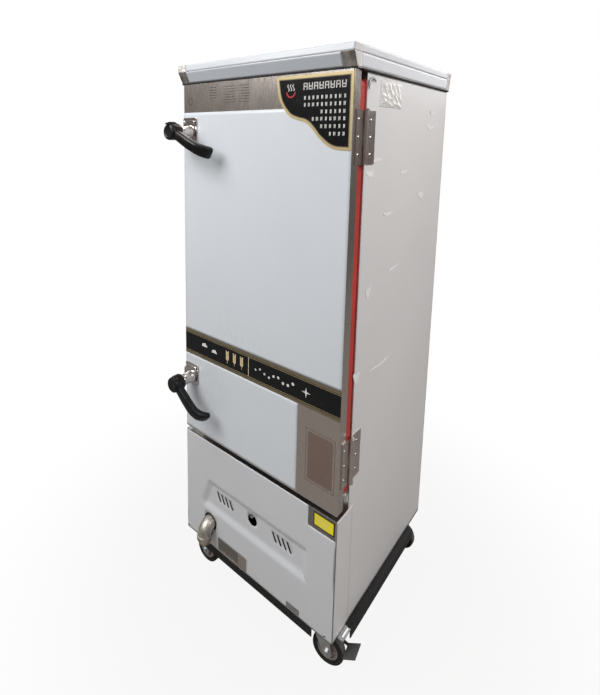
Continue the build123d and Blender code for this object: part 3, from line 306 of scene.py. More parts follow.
def filmOverSteel(name, tone, rough=(0.26, 0.40), lines=0.05):
    # milky protective film: faint lengthwise draw lines, trapped air as soft cloud, small scuffs
    make = Nodes(name)
    drawn = make.noise(160.0, (1, 1, 0.02), 2.0)
    cloud = make.noise(2.2, (1, 1, 0.7), 3.0)
    scuff = make.noise(60.0, (1, 1, 0.5), 6.0, 0.75)
    base = make.ramp(cloud, (0.3, toned(tone, 0.955)), (0.7, tone))
    base = make.mix(make.span(drawn, 0.0, lines), base, toned(tone, 0.86))
    colour = make.mix(make.span(scuff, 0.0, 0.30, 0.66, 0.80), base, (0.93, 0.93, 0.94))
    gloss = make.span(make.sum(cloud, scuff, 0.4), *rough, 0.5, 0.9)
    return make.finish(colour, gloss, make.sum(cloud, drawn, 0.02), 0.10, 0.004, Specular_IOR_Level=0.45,
                       Coat_Weight=0.25, Coat_Roughness=0.18)


def bakedPaint(name, tone, rough=(0.38, 0.55)):
    # stove paint with fine orange peel and dust
    make = Nodes(name)
    peel = make.noise(420.0, (1, 1, 1), 2.0)
    dust = make.noise(14.0, (1, 1, 1), 6.0, 0.7)
    colour = make.ramp(dust, (0.35, tone), (0.75, toned(tone, 1.2, 0.012)))
    return make.finish(colour, make.span(dust, *rough), peel, 0.25, 0.0003, Specular_IOR_Level=0.3)


def bakelite(name, tone):
    # moulded phenolic: black with a satin bloom, fine flow marks, pale scuffs on the high spots
    make = Nodes(name)
    bloom = make.noise(24.0, (1, 1, 1), 5.0, 0.6)
    fine = make.noise(700.0, (1, 1, 1), 2.0)
    flow = make.noise(90.0, (1, 1, 0.25), 3.0)
    base = make.ramp(bloom, (0.3, tone), (0.75, toned(tone, 1, 0.008)))
    colour = make.mix(make.span(flow, 0.0, 0.10, 0.6, 0.85), base, (0.10, 0.10, 0.098))
    return make.finish(colour, make.span(bloom, 0.20, 0.38), make.sum(flow, fine, 0.3), 0.16, 0.0007,
                       Specular_IOR_Level=0.32)


def rubber(name, tone, dustTone, dusty):
    # moulded rubber with a matt skin, dust in patches and a fine grain
    make = Nodes(name)
    dust = make.noise(42.0, (1, 1, 1), 6.0, 0.72)
    skin = make.noise(520.0, (1, 1, 1), 2.0)
    colour = make.mix(make.span(dust, 0.0, dusty, 0.45, 0.75), tone, dustTone)
    return make.finish(colour, make.span(dust, 0.55, 0.75), make.sum(dust, skin, 0.6), 0.30, 0.0006,
                       Specular_IOR_Level=0.35)


def silicone(name, tone):
    # extruded silicone strip: draw lines along its length, slightly waxy
    make = Nodes(name)
    drawn = make.noise(260.0, (1, 1, 0.02), 2.0)
    wax = make.noise(16.0, (1, 1, 0.5), 4.0)
    colour = make.ramp(make.sum(wax, drawn, 0.2), (0.45, toned(tone, 0.82)), (0.8, tone))
    return make.finish(colour, make.span(wax, 0.38, 0.55), drawn, 0.2, 0.0006, Specular_IOR_Level=0.45,
                       Subsurface_Weight=0.08, Subsurface_Scale=0.003)


def moulded(name, tone, speck):
    # moulded plastic with flecks and a spark-eroded skin
    make = Nodes(name)
    flecks = make.noise(340.0, (1, 1, 1), 4.0, 0.7)
    cloud = make.noise(30.0, (1, 1, 1), 4.0)
    base = make.ramp(cloud, (0.3, toned(tone, 0.85)), (0.7, tone))
    colour = make.mix(make.span(flecks, 0.0, 0.8, 0.56, 0.72), base, speck)
    return make.finish(colour, make.span(flecks, 0.42, 0.6), flecks, 0.3, 0.0004, Specular_IOR_Level=0.45)


def foamed(name, tone):
    # cut rigid foam, open cells on the cut
    make = Nodes(name)
    cells = make.new("ShaderNodeTexVoronoi", {"Scale": 420.0})
    wire(make.tree, (make.place, cells.inputs["Vector"]))
    age = make.noise(8.0, (1, 1, 1), 4.0)
    colour = make.ramp(age, (0.3, toned(tone, 0.85)), (0.7, tone))
    return make.finish(colour, make.span(age, 0.85, 0.95), cells.outputs["Distance"], 0.5, 0.001)


def printed(name, tone, rough, metal=0.0):
    # ink or foil on a thin plate: even colour, faint rub marks and a soft gloss
    make = Nodes(name)
    rub = make.noise(70.0, (1, 1, 0.6), 6.0, 0.7)
    even = make.noise(9.0, (1, 1, 1), 3.0)
    base = make.ramp(even, (0.3, toned(tone, 0.92)), (0.7, tone))
    colour = make.mix(make.span(rub, 0.0, 0.12, 0.55, 0.8), base, toned(tone, 0.8, 0.08))
    return make.finish(colour, make.span(rub, *rough), rub, 0.06, 0.0006, Metallic=metal,
                       Specular_IOR_Level=0.25)


slotFinishes = {  # maker, material name and its values for each slot of the record
    "panel_steel": (mirrorSteel, "sheetPolished", (0.70, 0.69, 0.67), (0.12, 0.24)),
    "bright_steel": (brushedSteel, "sheetBrushed", (0.70, 0.70, 0.69)),
    "base_paint": (bakedPaint, "basePaint", (0.008, 0.008, 0.009)),
    "foam": (foamed, "foam", (0.80, 0.72, 0.50)),
    "silicone": (silicone, "gasketRed", (0.52, 0.045, 0.035)),
    "lever_plastic": (bakelite, "bakeliteBlack", (0.005, 0.005, 0.0055)),
    # the chrome tone is darkened and warmed as painted reflection of warm dark surroundings
    "chrome_casting": (plated, "chromeCast", (0.68, 0.635, 0.615), (0.08, 0.22), 0.0, 0.25, 0.0020),
    "zinc_plate": (plated, "zincPlate", (0.62, 0.63, 0.64), (0.25, 0.45)),
    "brass": (plated, "brassTurned", (0.70, 0.52, 0.24), (0.22, 0.40)),
    "element_tube": (plated, "elementTube", (0.36, 0.34, 0.32), (0.35, 0.55)),
    "grey_box": (bakedPaint, "greyBox", (0.44, 0.45, 0.46)),
    "handle_red": (bakedPaint, "handleRed", (0.50, 0.03, 0.02)),
    "float_plastic": (moulded, "floatPlastic", (0.78, 0.78, 0.72), (0.66, 0.66, 0.62)),
    "gland_plastic": (moulded, "glandPlastic", (0.030, 0.030, 0.033), (0.06, 0.06, 0.06)),
    "tyre_rubber": (rubber, "tyreRubber", (0.012, 0.012, 0.012), (0.09, 0.085, 0.08), 0.35),
    "hub_plastic": (moulded, "hubPlastic", (0.30, 0.25, 0.235), (0.46, 0.43, 0.42)),
    "brake_plastic": (bakedPaint, "brakePaint", (0.075, 0.080, 0.078), (0.35, 0.5)),
    "screw_steel": (plated, "screwSteel", (0.72, 0.71, 0.70), (0.14, 0.30)),
}
pieceFinishes = {  # tone, roughness range and each maker's own values
    filmOverSteel: {
        "filmDoor": ((0.735, 0.775, 0.825),),
        "filmSide": ((0.76, 0.75, 0.75), (0.30, 0.45), 0.12),
        # the cap, cap strip and cover tones are the door's film toned per face, darker or lighter as painted
        # shade and light
        "filmCap": ((0.60, 0.64, 0.70), (0.28, 0.42), 0.10),
        "filmCapTop": ((0.64, 0.67, 0.72), (0.34, 0.48), 0.06),
        "filmCover": ((0.69, 0.705, 0.735), (0.30, 0.45), 0.08),
        # pale and glossy: a painted highlight on the side film's raised creases
        "filmCrease": ((0.92, 0.92, 0.93), (0.16, 0.28), 0.02),
        "filmPocket": ((0.74, 0.72, 0.70), (0.06, 0.16), 0.02),
    },
    brushedSteel: {
        # bare steel toned brown and dark as painted reflection of dark warm surroundings, the cover's the
        # darkest
        "sheetDoor": ((0.64, 0.585, 0.545), (0.18, 0.32), 0.5),
        "sheetCover": ((0.36, 0.33, 0.31), (0.20, 0.34), 0.6),
        "hingeSteel": ((0.66, 0.58, 0.555), (0.20, 0.36), 1.2),
    },
    # the corner steel's dark brown tone is painted reflection
    dentedSteel: {"cornerSteel": ((0.54, 0.505, 0.485), (0.34, 0.46))},
    # a warm tone as painted reflection of brownish surroundings on the drain elbow
    plated: {"warmZinc": ((0.62, 0.58, 0.52), (0.34, 0.55), 0.1, 0.40)},
    rubber: {
        # black standing in for shade under the cap and behind the slots
        "seamBlack": ((0.006, 0.006, 0.006), (0.02, 0.02, 0.02), 0.3),
        "treadGrey": ((0.09, 0.088, 0.086), (0.19, 0.18, 0.175), 0.6),
    },
    printed: {
        "blackFoil": ((0.008, 0.008, 0.009), (0.16, 0.28)),
        "goldFoil": ((0.62, 0.50, 0.27), (0.28, 0.42), 0.35),
        "bronzeFoil": ((0.20, 0.165, 0.10), (0.30, 0.45), 0.3),
        "whiteInk": ((0.80, 0.80, 0.78), (0.35, 0.5)),
        "creamInk": ((0.74, 0.62, 0.36), (0.35, 0.5)),
        "redInk": ((0.48, 0.04, 0.05), (0.35, 0.5)),
        "brownInk": ((0.20, 0.12, 0.085), (0.4, 0.55)),
        "paleInk": ((0.10, 0.070, 0.058), (0.4, 0.55)),
        "pinkInk": ((0.25, 0.185, 0.155), (0.3, 0.45), 0.3),
        "yellowInk": ((0.98, 0.84, 0.03), (0.3, 0.45)),
        # grey: the serial plate's own colour, and painted shade on the film curl
        "plateGrey": ((0.36, 0.36, 0.36), (0.3, 0.45), 0.6),
    },
}
finishes = {slot: maker(*values) for slot, (maker, *values) in slotFinishes.items()}
for maker, rows in pieceFinishes.items():
    finishes.update({name: maker(name, *values) for name, values in rows.items()})
print(len(finishes), "finishes ready")

nodeFinishes = {"door_skin": "sheetDoor", "top_cap": "cornerSteel", "drain_elbow": "warmZinc",
                "hinge_cabinet_leaves": "hingeSteel", "hinge_door_leaves": "hingeSteel"}
slotOf = {row["node"]: row["material_slot"] for row in frame["record"]["subparts"]}
for nodeName, node in frame["nodes"].items():
    node.data.materials.clear()
    node.data.materials.append(finishes[nodeFinishes.get(nodeName, slotOf[nodeName])])
print("finishes on", len(frame["nodes"]), "nodes")


# Mesh tools: every shape is an array of points, with faces as rows of indices

def gridFaces(rows, columns, closed=False):
    # four-sided faces of a rows by columns grid, point i, j at index i * columns + j
    i = np.arange(rows - 1)[:, None]
    j = np.arange(columns if closed else columns - 1)[None, :]
    nextJ = (j + 1) % columns
    corners = [i * columns + j, i * columns + nextJ, (i + 1) * columns + nextJ, (i + 1) * columns + j]
    return np.stack([np.broadcast_to(c, (i.size, j.size)) for c in corners], -1).reshape(-1, 4)


def joined(parts):
    # several shapes as one: each shape's faces count on from the points before them
    points, faces, start = [], [], 0
    for partPoints, partFaces in parts:
        partPoints = np.asarray(partPoints, float).reshape(-1, 3)
        points.append(partPoints)
        faces += [[int(k) + start for k in face] for face in partFaces]
        start += len(partPoints)
    return np.concatenate(points), faces


def addPiece(name, shape, body, slot, material, replaces=(), weld=1e-6, sharp=32, bevel=0.0, skin=0.0):
    # makes the mesh in metres, closes seams and poles, turns faces outwards, and rides it on its body
    points, faces = shape
    mesh = bpy.data.meshes.new(name)
    corners = np.asarray(points, float).reshape(-1, 3).tolist()
    mesh.from_pydata(corners, [], [list(map(int, face)) for face in faces])
    work = bmesh.new()
    work.from_mesh(mesh)
    if weld:
        bmesh.ops.remove_doubles(work, verts=work.verts, dist=weld)
    bmesh.ops.dissolve_degenerate(work, edges=work.edges, dist=1e-7)
    if not skin:
        bmesh.ops.recalc_face_normals(work, faces=work.faces)
    work.to_mesh(mesh)
    work.free()
    mesh.polygons.foreach_set("use_smooth", np.ones(len(mesh.polygons), bool))
    mesh.set_sharp_from_angle(angle=math.radians(sharp))
    mesh.materials.append(finishes[material])
    piece = bpy.data.objects.new(name, mesh)
    scene.collection.objects.link(piece)
    if skin:
        wall = piece.modifiers.new("wall", "SOLIDIFY")
        wall.thickness, wall.offset = skin, -1
    if bevel:
        soften = piece.modifiers.new("soften", "BEVEL")
        soften.width, soften.segments, soften.limit_method = bevel, 2, "ANGLE"
        soften.angle_limit = math.radians(40)
        soften.harden_normals = True
    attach(piece, body)
    if replaces:
        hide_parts(*replaces)
    return piece


def bars(low, high):
    # upright boxes between two arrays of corners
    low, high = np.atleast_2d(low).astype(float), np.atleast_2d(high).astype(float)
    pick = np.array([[0, 0, 0], [1, 0, 0], [1, 1, 0], [0, 1, 0], [0, 0, 1], [1, 0, 1], [1, 1, 1], [0, 1, 1]])
    points = low[:, None, :] + pick[None] * (high - low)[:, None, :]
    sides = np.array([[0, 3, 2, 1], [4, 5, 6, 7], [0, 1, 5, 4], [1, 2, 6, 5], [2, 3, 7, 6], [3, 0, 4, 7]])
    faces = (np.arange(len(low))[:, None, None] * 8 + sides[None]).reshape(-1, 4)
    return points.reshape(-1, 3), faces


def plusDepth(points, depth):
    # one more column, the same for every point
    return np.column_stack([points, np.full(len(points), depth)])


def prism(outline, near, far, across):
    # a closed outline (n, 2) carried from near to far; across turns (a, b, depth) into x, y, z
    count = len(outline)
    points = across(np.concatenate([plusDepth(outline, depth) for depth in (near, far)]))
    k = np.arange(count)
    sides = np.stack([k, (k + 1) % count, (k + 1) % count + count, k + count], -1)
    return points, [list(s) for s in sides] + [list(k[::-1]), list(k + count)]


def revolve(profile, steps, across):
    # a profile of (radius, height) turned round its axis; across turns (a, b, height) into x, y, z
    profile = np.asarray(profile, float)
    turn = np.linspace(0, 2 * np.pi, steps, endpoint=False)
    radius, height = profile[:, 0:1], profile[:, 1:2]
    points = np.stack([radius * np.cos(turn), radius * np.sin(turn), height + 0 * turn], -1)
    return across(points.reshape(-1, 3)), gridFaces(len(profile), steps, closed=True)


def smoothLine(points, perSpan):
    # a Catmull-Rom curve through the points
    points = np.asarray(points, float)
    ends = np.concatenate([2 * points[:1] - points[1:2], points, 2 * points[-1:] - points[-2:-1]])
    t = np.linspace(0, 1, perSpan, endpoint=False)[None, :, None]
    a, b, c, d = (ends[k:len(ends) - 3 + k, None, :] for k in range(4))
    curve = 0.5 * (2 * b + (c - a) * t + (2 * a - 5 * b + 4 * c - d) * t ** 2
                   + (3 * b - a - 3 * c + d) * t ** 3)
    return np.concatenate([curve.reshape(-1, points.shape[1]), points[-1:]])


def carried(path, side, sections):
    # sections (stations, around, 2) carried along a flat path; the first column runs along side
    path, sections = np.asarray(path, float), np.asarray(sections, float)
    along = np.gradient(path, axis=0)
    along /= np.linalg.norm(along, axis=1, keepdims=True)
    across = np.cross(along, side)
    points = path[:, None] + sections[..., :1] * np.asarray(side, float) + sections[..., 1:] * across[:, None]
    stations, around = sections.shape[:2]
    faces = gridFaces(stations, around, closed=True).tolist()
    faces += [list(range(around))[::-1], [(stations - 1) * around + k for k in range(around)]]
    return points.reshape(-1, 3), faces


def inset(outline, distance):
    # each corner of a closed outline moved inwards along its mean normal
    outline = np.asarray(outline, float)
    before, after = np.roll(outline, 1, 0), np.roll(outline, -1, 0)
    first, second = outline - before, after - outline
    first /= np.linalg.norm(first, axis=1, keepdims=True)
    second /= np.linalg.norm(second, axis=1, keepdims=True)
    turn = np.sign(np.sum(outline[:, 0] * after[:, 1] - after[:, 0] * outline[:, 1]))
    normals = turn * np.stack([-(first + second)[:, 1], (first + second)[:, 0]], -1)
    spread = np.maximum(np.sum(normals ** 2, axis=1, keepdims=True) / 2, 0.3)
    return outline + normals / spread * distance


def circle(centre, radius, steps, start=0.0, sweep=360.0):
    # a full circle, or an arc whose both ends are kept
    turn = np.radians(start + np.arange(steps) * sweep / (steps if sweep == 360.0 else steps - 1))
    return np.stack([centre[0] + radius * np.cos(turn), centre[1] + radius * np.sin(turn)], -1)


def rectangle(left, low, right, high):
    # four corners, from the low left one round to the high left one
    return [(left, low), (right, low), (right, high), (left, high)]


def roundedBox(low, high, radius, steps=4):
    # corners of a flat rectangle turned as quarter circles
    corners = [(high[0], high[1], 0), (low[0], high[1], 90), (low[0], low[1], 180), (high[0], low[1], 270)]
    arcs = []
    for x, z, start in corners:
        x += -radius if start in (0, 270) else radius
        z += -radius if start in (0, 90) else radius
        arcs.append(circle((x, z), radius, steps, start, 90.0))
    return np.concatenate(arcs)


# Places on the cabinet, from the frame

doorLow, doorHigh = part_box("door_skin")
panelLow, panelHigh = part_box("right_side_panel")
capLow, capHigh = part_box("top_cap")
coverLow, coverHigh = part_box("lower_front_cover")
leftX, rightX = doorLow.x, doorHigh.x
frontY, foot = doorLow.y, panelLow.z
middleX = (leftX + rightX) / 2


def onFront(points):
    # (mm from the door's left edge, mm above the body's foot, mm out from the front)
    points = np.asarray(points, float) * mm
    return np.stack([leftX + points[:, 0], frontY - points[:, 2], foot + points[:, 1]], -1)


def onRight(points):
    # (mm behind the front, mm above the body's foot, mm out from the right side)
    points = np.asarray(points, float) * mm
    return np.stack([rightX + points[:, 2], frontY + points[:, 0], foot + points[:, 1]], -1)


def frontPrint(name, outlines, lift, thick, material, body="door", slot="panel_steel", **more):
    # outlines on the front as plates, from lift to lift plus thick
    parts = [prism(outline, lift, lift + thick, onFront) for outline in outlines]
    addPiece(name, joined(parts), body, slot, material, **more)


def frontBars(name, boxes, lift, thick, material, body="door", slot="panel_steel"):
    # boxes are rows of left, low, right, high in mm on the front
    boxes = np.asarray(boxes, float)
    shape = bars(onFront(plusDepth(boxes[:, :2], lift + thick)), onFront(plusDepth(boxes[:, 2:], lift)))
    addPiece(name, shape, body, slot, material, sharp=20)


# Protective film, a thin skin that ripples a little where air is trapped

film = {"lift": 0.35, "least": 0.05, "skin": 0.25, "cell": 9.0, "ripple": 0.10, "wave": 110.0}  # mm


def rippled(u, v, seed, size, height):
    # a sum of eight waves with seeded directions and lengths from half to twice the given size
    rng = np.random.default_rng(seed)
    total = np.zeros_like(u)
    for _ in range(8):
        angle, phase = rng.uniform(0, 2 * np.pi, 2)
        length = size * rng.uniform(0.5, 2.0)
        total += np.sin((u * np.cos(angle) + v * np.sin(angle)) * 2 * np.pi / length + phase)
    return total * height / 4


def filmSheet(name, corners, outwards, seed, body, material, cell=film["cell"], ripple=film["ripple"],
              extra=None):
    # a sheet between four corners (metres), lifted along outwards by the film's own waves
    corners, outwards = np.asarray(corners, float), np.asarray(outwards, float)
    wide, tall = (np.linalg.norm(corners[k] - corners[0]) / mm for k in (1, 3))
    columns, rows = (max(3, int(length / cell) + 2) for length in (wide, tall))
    u, v = np.meshgrid(np.linspace(0, 1, columns), np.linspace(0, 1, rows))
    shares = ((1 - u) * (1 - v), u * (1 - v), u * v, (1 - u) * v)
    flat = sum(corner * share[..., None] for corner, share in zip(corners, shares))
    height = film["lift"] + rippled(u * wide, v * tall, seed, film["wave"], ripple)
    if extra:
        height = height + extra(u * wide, v * tall)
    points = flat + np.maximum(height, film["least"])[..., None] * mm * outwards
    faces = gridFaces(rows, columns)
    if np.dot(np.cross(corners[1] - corners[0], corners[3] - corners[0]), outwards) < 0:
        faces = faces[:, ::-1]
    addPiece(name, (points.reshape(-1, 3), faces), body, "panel_steel", material, weld=0, sharp=60,
             skin=film["skin"] * mm)


doorFilm = {  # left, low, right, high and the seed
    "doorFilmUpper": ((1.0, 748.0, 599.0, 1456.0), 3),
    "doorFilmLower": ((1.0, 395.0, 466.0, 663.0), 4),
}

for filmName, (area, filmSeed) in doorFilm.items():
    filmSheet(filmName, onFront(plusDepth(rectangle(*area), 0)), (0, -1, 0), filmSeed, "door", "filmDoor")

sideFilm = {
    "inset": 1.5, "ripple": 0.16,
    "marks": [(120, 1330, 34, 5), (300, 1290, 26, 4), (205, 1180, 22, 4), (430, 1215, 20, 14),
              (260, 1015, 26, 4), (120, 985, 30, 8), (70, 760, 44, 26), (210, 742, 50, 8),
              (480, 1420, 34, 6)],  # y, z, half sizes
    "markHeight": 0.55,
    "bubble": {"y": (70.0, 201.0), "z": (1463.0, 1530.0), "height": 2.6, "cell": 2.0, "fold": (26.0, 2.2),
               "fine": (9.0, 0.35), "steep": 7, "crease": 0.8, "least": 0.35, "more": 0.65},
    "creases": [(118, 1331, 48, 3.6), (96, 1297, 18, 7.0), (300, 1292, 28, 3.4), (214, 1181, 28, 3.6),
                (440, 1216, 24, 8.0), (262, 1016, 34, 3.4), (116, 986, 18, 11.0), (215, 742, 56, 3.4),
                (72, 762, 15, 14.0), (490, 1424, 44, 5.5), (500, 1466, 24, 4.0)],  # y, z, half sizes
    "creaseRise": (0.65, 1.10), "creaseWaver": ((3, 0.22), (7, 0.12)), "creaseBow": 1.6,
    "curl": {"y": 84.0, "z": 1508.0, "radius": 19.0, "half": 4.0, "turn": (205.0, 40.0), "lift": 2.0,
             "flat": 0.55, "taper": (0.25, 0.75), "ends": (0.15, 0.3)},
    "skirt": {"area": (3.0, 1.5, 86.0, 377.0), "lift": 0.6, "ripple": 0.08},  # area: near, low, far, high
}


def sideMarks(u, v):
    # round swellings, each falling off as a bell curve
    total = np.zeros_like(u)
    for y, z, halfY, halfZ in sideFilm["marks"]:
        total += np.exp(-((u - y) / halfY) ** 2 - ((v - z) / halfZ) ** 2)
    return total * sideFilm["markHeight"]


def makeSideFilm():
    # one sheet over each side panel, smaller than it by the inset all round
    gap = sideFilm["inset"] * mm
    area = rectangle(panelLow.y + gap, panelLow.z + gap, panelHigh.y - gap, panelHigh.z - gap)
    sides = (("rightFilm", rightX, 1, 5, sideMarks), ("leftFilm", leftX, -1, 6, None))
    for name, x, out, seed, extra in sides:
        filmSheet(name, [(x, y, z) for y, z in area], (out, 0, 0), seed, "cabinet", "filmSide",
                  ripple=sideFilm["ripple"], extra=extra)


def makeBubble():
    # a crinkled pocket of air: a flat-topped hump with sharp folds, from ridged waves
    bubble = sideFilm["bubble"]
    (y0, y1), (z0, z1) = bubble["y"], bubble["z"]
    wide, tall = y1 - y0, z1 - z0

    def crinkle(u, v):
        a, b = u / wide, v / tall
        window = np.clip(np.minimum(np.minimum(a, 1 - a), np.minimum(b, 1 - b)) * bubble["steep"], 0, 1)
        folds = 1 - np.abs(rippled(u, v, 11, *bubble["fold"])) * bubble["crease"]
        hump = bubble["height"] * window * (bubble["least"] + bubble["more"] * np.clip(folds, 0, 1))
        return hump + window * rippled(u, v, 12, *bubble["fine"])

    area = rectangle(panelLow.y + y0 * mm, foot + z0 * mm, panelLow.y + y1 * mm, foot + z1 * mm)
    filmSheet("filmBubble", [(rightX, y, z) for y, z in area], (1, 0, 0), 13, "cabinet", "filmPocket",
              cell=bubble["cell"], extra=crinkle)


def makeCreases():
    # creases in the side film: long flat lenses whose outline wavers, pale as a painted highlight
    rng = np.random.default_rng(17)
    turn = np.linspace(0, 2 * np.pi, 40, endpoint=False)
    parts = []
    for y, z, halfY, halfZ in sideFilm["creases"]:
        reach = 1
        for count, size in sideFilm["creaseWaver"]:
            reach = reach + size * np.sin(count * turn + rng.uniform(0, 6))
        bow = halfZ * sideFilm["creaseBow"] * (np.cos(turn) ** 2 - 0.5)
        outline = np.column_stack([y + halfY * reach * np.cos(turn), z + halfZ * reach * np.sin(turn) + bow])
        parts.append(prism(outline, *sideFilm["creaseRise"], onRight))
    addPiece("sideCreases", joined(parts), "cabinet", "panel_steel", "filmCrease", sharp=60)


def makeCurl():
    # a loose lip of film rolled up into a hook: a tapering round section carried along an arc on the side,
    # dark grey as painted shade
    curl = sideFilm["curl"]
    half, (least, more), (first, last) = curl["half"], curl["taper"], curl["ends"]
    turn = np.radians(np.linspace(*curl["turn"], 28))
    arc = np.column_stack([curl["y"] + curl["radius"] * np.cos(turn),
                           curl["z"] + curl["radius"] * np.sin(turn)])
    around = np.linspace(0, 2 * np.pi, 14, endpoint=False)
    taper = (least + more * np.sin(np.linspace(first, np.pi - last, len(turn))))[:, None] * half
    sections = np.stack([curl["flat"] * taper * np.cos(around), taper * np.sin(around)], -1)
    points, faces = carried(plusDepth(arc, curl["lift"] + half / 2), (0, 0, 1), sections)
    addPiece("filmCurl", (onRight(points), faces), "cabinet", "panel_steel", "plateGrey", sharp=60)


def makeSkirtFilm():
    # one sheet of film across the joint between the bent side of the lower cover and the side panel
    skirt = sideFilm["skirt"]
    filmSheet("rightSkirtFilm", onRight(plusDepth(rectangle(*skirt["area"]), 0)), (1, 0, 0), 19,
              "cabinet", "filmSide", ripple=skirt["ripple"], extra=lambda u, v: skirt["lift"] + 0 * u)


makeSideFilm()
makeBubble()
makeCreases()
makeCurl()
makeSkirtFilm()

capFilm = {
    "corner": 36.0, "fascia": 35.0, "margin": 0.3, "lip": 2.6,
    "out": {"low": (2.0, 5.0, 3.0), "knee": (0.0, 6.0, 8.0), "top": (2.0, 0.0, 0.0)},  # front, side, rear
    # the cap's right and left fascias take the darker cover tone as painted shade
    "tones": {"capRight": "filmCover", "capLeft": "filmCover", "capNear": "filmPocket"},
    "weave": (6.0, 0.06), "crumpled": (2.5, 0.5),  # cell and ripple
}


def makeCapFilm():
    # film between the bare corners, on the leaning fascia and on the strip above it; the strip's lighter tone
    # is painted light, the fascia's darker tone painted shade
    corner, margin = capFilm["corner"] * mm, capFilm["margin"] * mm
    low, knee, top = capLow.z + capFilm["lip"] * mm, capLow.z + capFilm["fascia"] * mm, capHigh.z
    x0, x1, y0, y1 = capLow.x + corner, capHigh.x - corner, capLow.y + corner, capHigh.y - corner
    bases = {"low": (frontY, rightX, panelHigh.y), "knee": (capLow.y, rightX, panelHigh.y),
             "top": (capLow.y, capHigh.x, capHigh.y)}
    edges = {key: [base + out * mm for base, out in zip(bases[key], capFilm["out"][key])] for key in bases}
    lip, fascia = capFilm["lip"], capFilm["fascia"]
    edges["low"] = [a + (b - a) * lip / fascia for a, b in zip(edges["low"], edges["knee"])]
    levels = (("Fascia", low, knee - margin, "low", "knee", "filmCap"),
              ("Strip", knee + margin, top - margin, "knee", "top", "filmCapTop"))
    number = 20
    for name, z0, z1, start, stop, material in levels:
        (front0, side0, rear0), (front1, side1, rear1) = edges[start], edges[stop]
        x2 = x1 if name == "Fascia" else capHigh.x - margin
        front = [(x0, front0, z0), (x2, front0, z0), (x2, front1, z1), (x0, front1, z1)]
        right = [(side0, y0, z0), (side0, y1, z0), (side1, y1, z1), (side1, y0, z1)]
        near = [(side0, front0 + margin, z0), right[0], right[3], (side1, front1 + margin, z1)]
        sheets = {
            "capFront": (front, (0, -1, 0)),
            "capRight": (right, (1, 0, 0)),
            "capRear": ([(x0, rear0, z0), (x1, rear0, z0), (x1, rear1, z1), (x0, rear1, z1)], (0, 1, 0)),
            "capNear": (near, (1, 0, 0)),
            "capLeft": ([(2 * middleX - x, y, z) for x, y, z in right], (-1, 0, 0)),
        }
        for place, (corners, outwards) in sheets.items():
            number += 1
            tone, weave = capFilm["tones"].get(place, material), "crumpled" if place == "capNear" else "weave"
            filmSheet(place + name, corners, outwards, number, "cabinet", tone, *capFilm[weave])


makeCapFilm()

capShadeStrip = {  # two corners of each bar: across from the middle, behind the front, above the foot
    "low": [(-305.8, -0.4, 1541.3), (298.0, 31.5, 1540.4), (-305.8, 31.5, 1540.4)],
    "high": [(305.8, 4.0, 1545.6), (305.8, 617.0, 1544.2), (-298.0, 617.0, 1544.2)],
    "bevel": 0.4,
}


def makeCapShadeStrip():
    # a black strip under the cap, along the front and both sides, standing in for the shade in the gap there:
    # painted shade
    low, high = (np.array([middleX, frontY, foot]) + np.array(capShadeStrip[key]) * mm for key in ("low", "high"))
    addPiece("capShadeStrip", bars(low, high), "cabinet", "base_paint", "seamBlack", sharp=20,
             bevel=capShadeStrip["bevel"] * mm)


makeCapShadeStrip()
print("film on door, sides and cap")


# Printed pieces on the front, with plain marks

namePlate = {
    "points": [(372, 1536), (384, 1478), (411, 1441), (437, 1428), (467, 1420), (489, 1402), (510, 1380),
               (547, 1357), (599, 1353)],
    "corner": (599, 1536), "border": 9.0, "line": 2.2, "lift": 0.7, "thick": 0.8, "step": 0.1, "bevel": 0.25,
    "print": (-0.05, 0.12),  # depth from the plate's face, thickness
}
printRows = {
    "right": 580.0,
    "headline": {"z": 1500.0, "count": 8, "size": (12.0, 17.0), "gap": 3.6, "stroke": 2.6, "bar": (7.2, 9.8)},
    "glyph": {"size": (6.2, 9.0), "gap": 6.4, "stroke": 2.2, "end": (2.4, 0.4), "bar": (3.6, 5.0),
              "trim": 1.4},
    "lines": [(1476, 10), (1459, 10), (1441, 6), (1424, 8), (1406, 6), (1388, 4)],  # height, marks
}
steamMark = {"centre": (420.0, 1497.0), "bowl": (15.0, 11.0), "waves": (-8.0, 0.0, 8.0), "waveHeight": 17.0,
             "sway": 2.4, "rise": 2.0, "stroke": 2.2}


def printMarks():
    # a headline of wide blocks and six lines of short uprights, ragged on the left
    rng = np.random.default_rng(41)
    boxes = []
    head, glyph = printRows["headline"], printRows["glyph"]
    (wide, tall), stroke, low = head["size"], head["stroke"], head["z"]
    high = low + tall
    for number in range(head["count"]):
        right = printRows["right"] - number * (wide + head["gap"])
        left = right - wide
        boxes += [(left, low, left + stroke, high), (right - stroke, low, right, high),
                  (left, low + head["bar"][0], right, low + head["bar"][1]),
                  (left, high - stroke, right, high) if number % 2 else (left, low, right, low + stroke)]
    wide, tall = glyph["size"]
    for low, count in printRows["lines"]:
        for number in range(count):
            right = printRows["right"] - number * (wide + glyph["gap"])
            shift, rise = rng.uniform(0, glyph["trim"], 2)
            left, stop = right - wide, right - glyph["end"][1]
            boxes += [(left + shift, low, left + glyph["stroke"] + shift, low + tall),
                      (right - glyph["end"][0], low + rise, stop, low + tall),
                      (left + shift, low + glyph["bar"][0], stop, low + glyph["bar"][1])]
    return boxes


def steamShapes():
    # a half-round bowl, and three upright strokes that sway by one sine wave over their height
    centre, half = steamMark["centre"], steamMark["stroke"] / 2
    rim, inner = (circle(centre, radius, 16, 180.0, 180.0) for radius in steamMark["bowl"])
    waves = []
    t = np.linspace(0, 1, 14)
    for shift in steamMark["waves"]:
        x = centre[0] + shift + steamMark["sway"] * np.sin(t * 2 * np.pi)
        z = centre[1] + steamMark["rise"] + t * steamMark["waveHeight"]
        waves.append(np.concatenate([np.column_stack([x - half, z]), np.column_stack([x + half, z])[::-1]]))
    return np.concatenate([rim, inner[::-1]]), waves


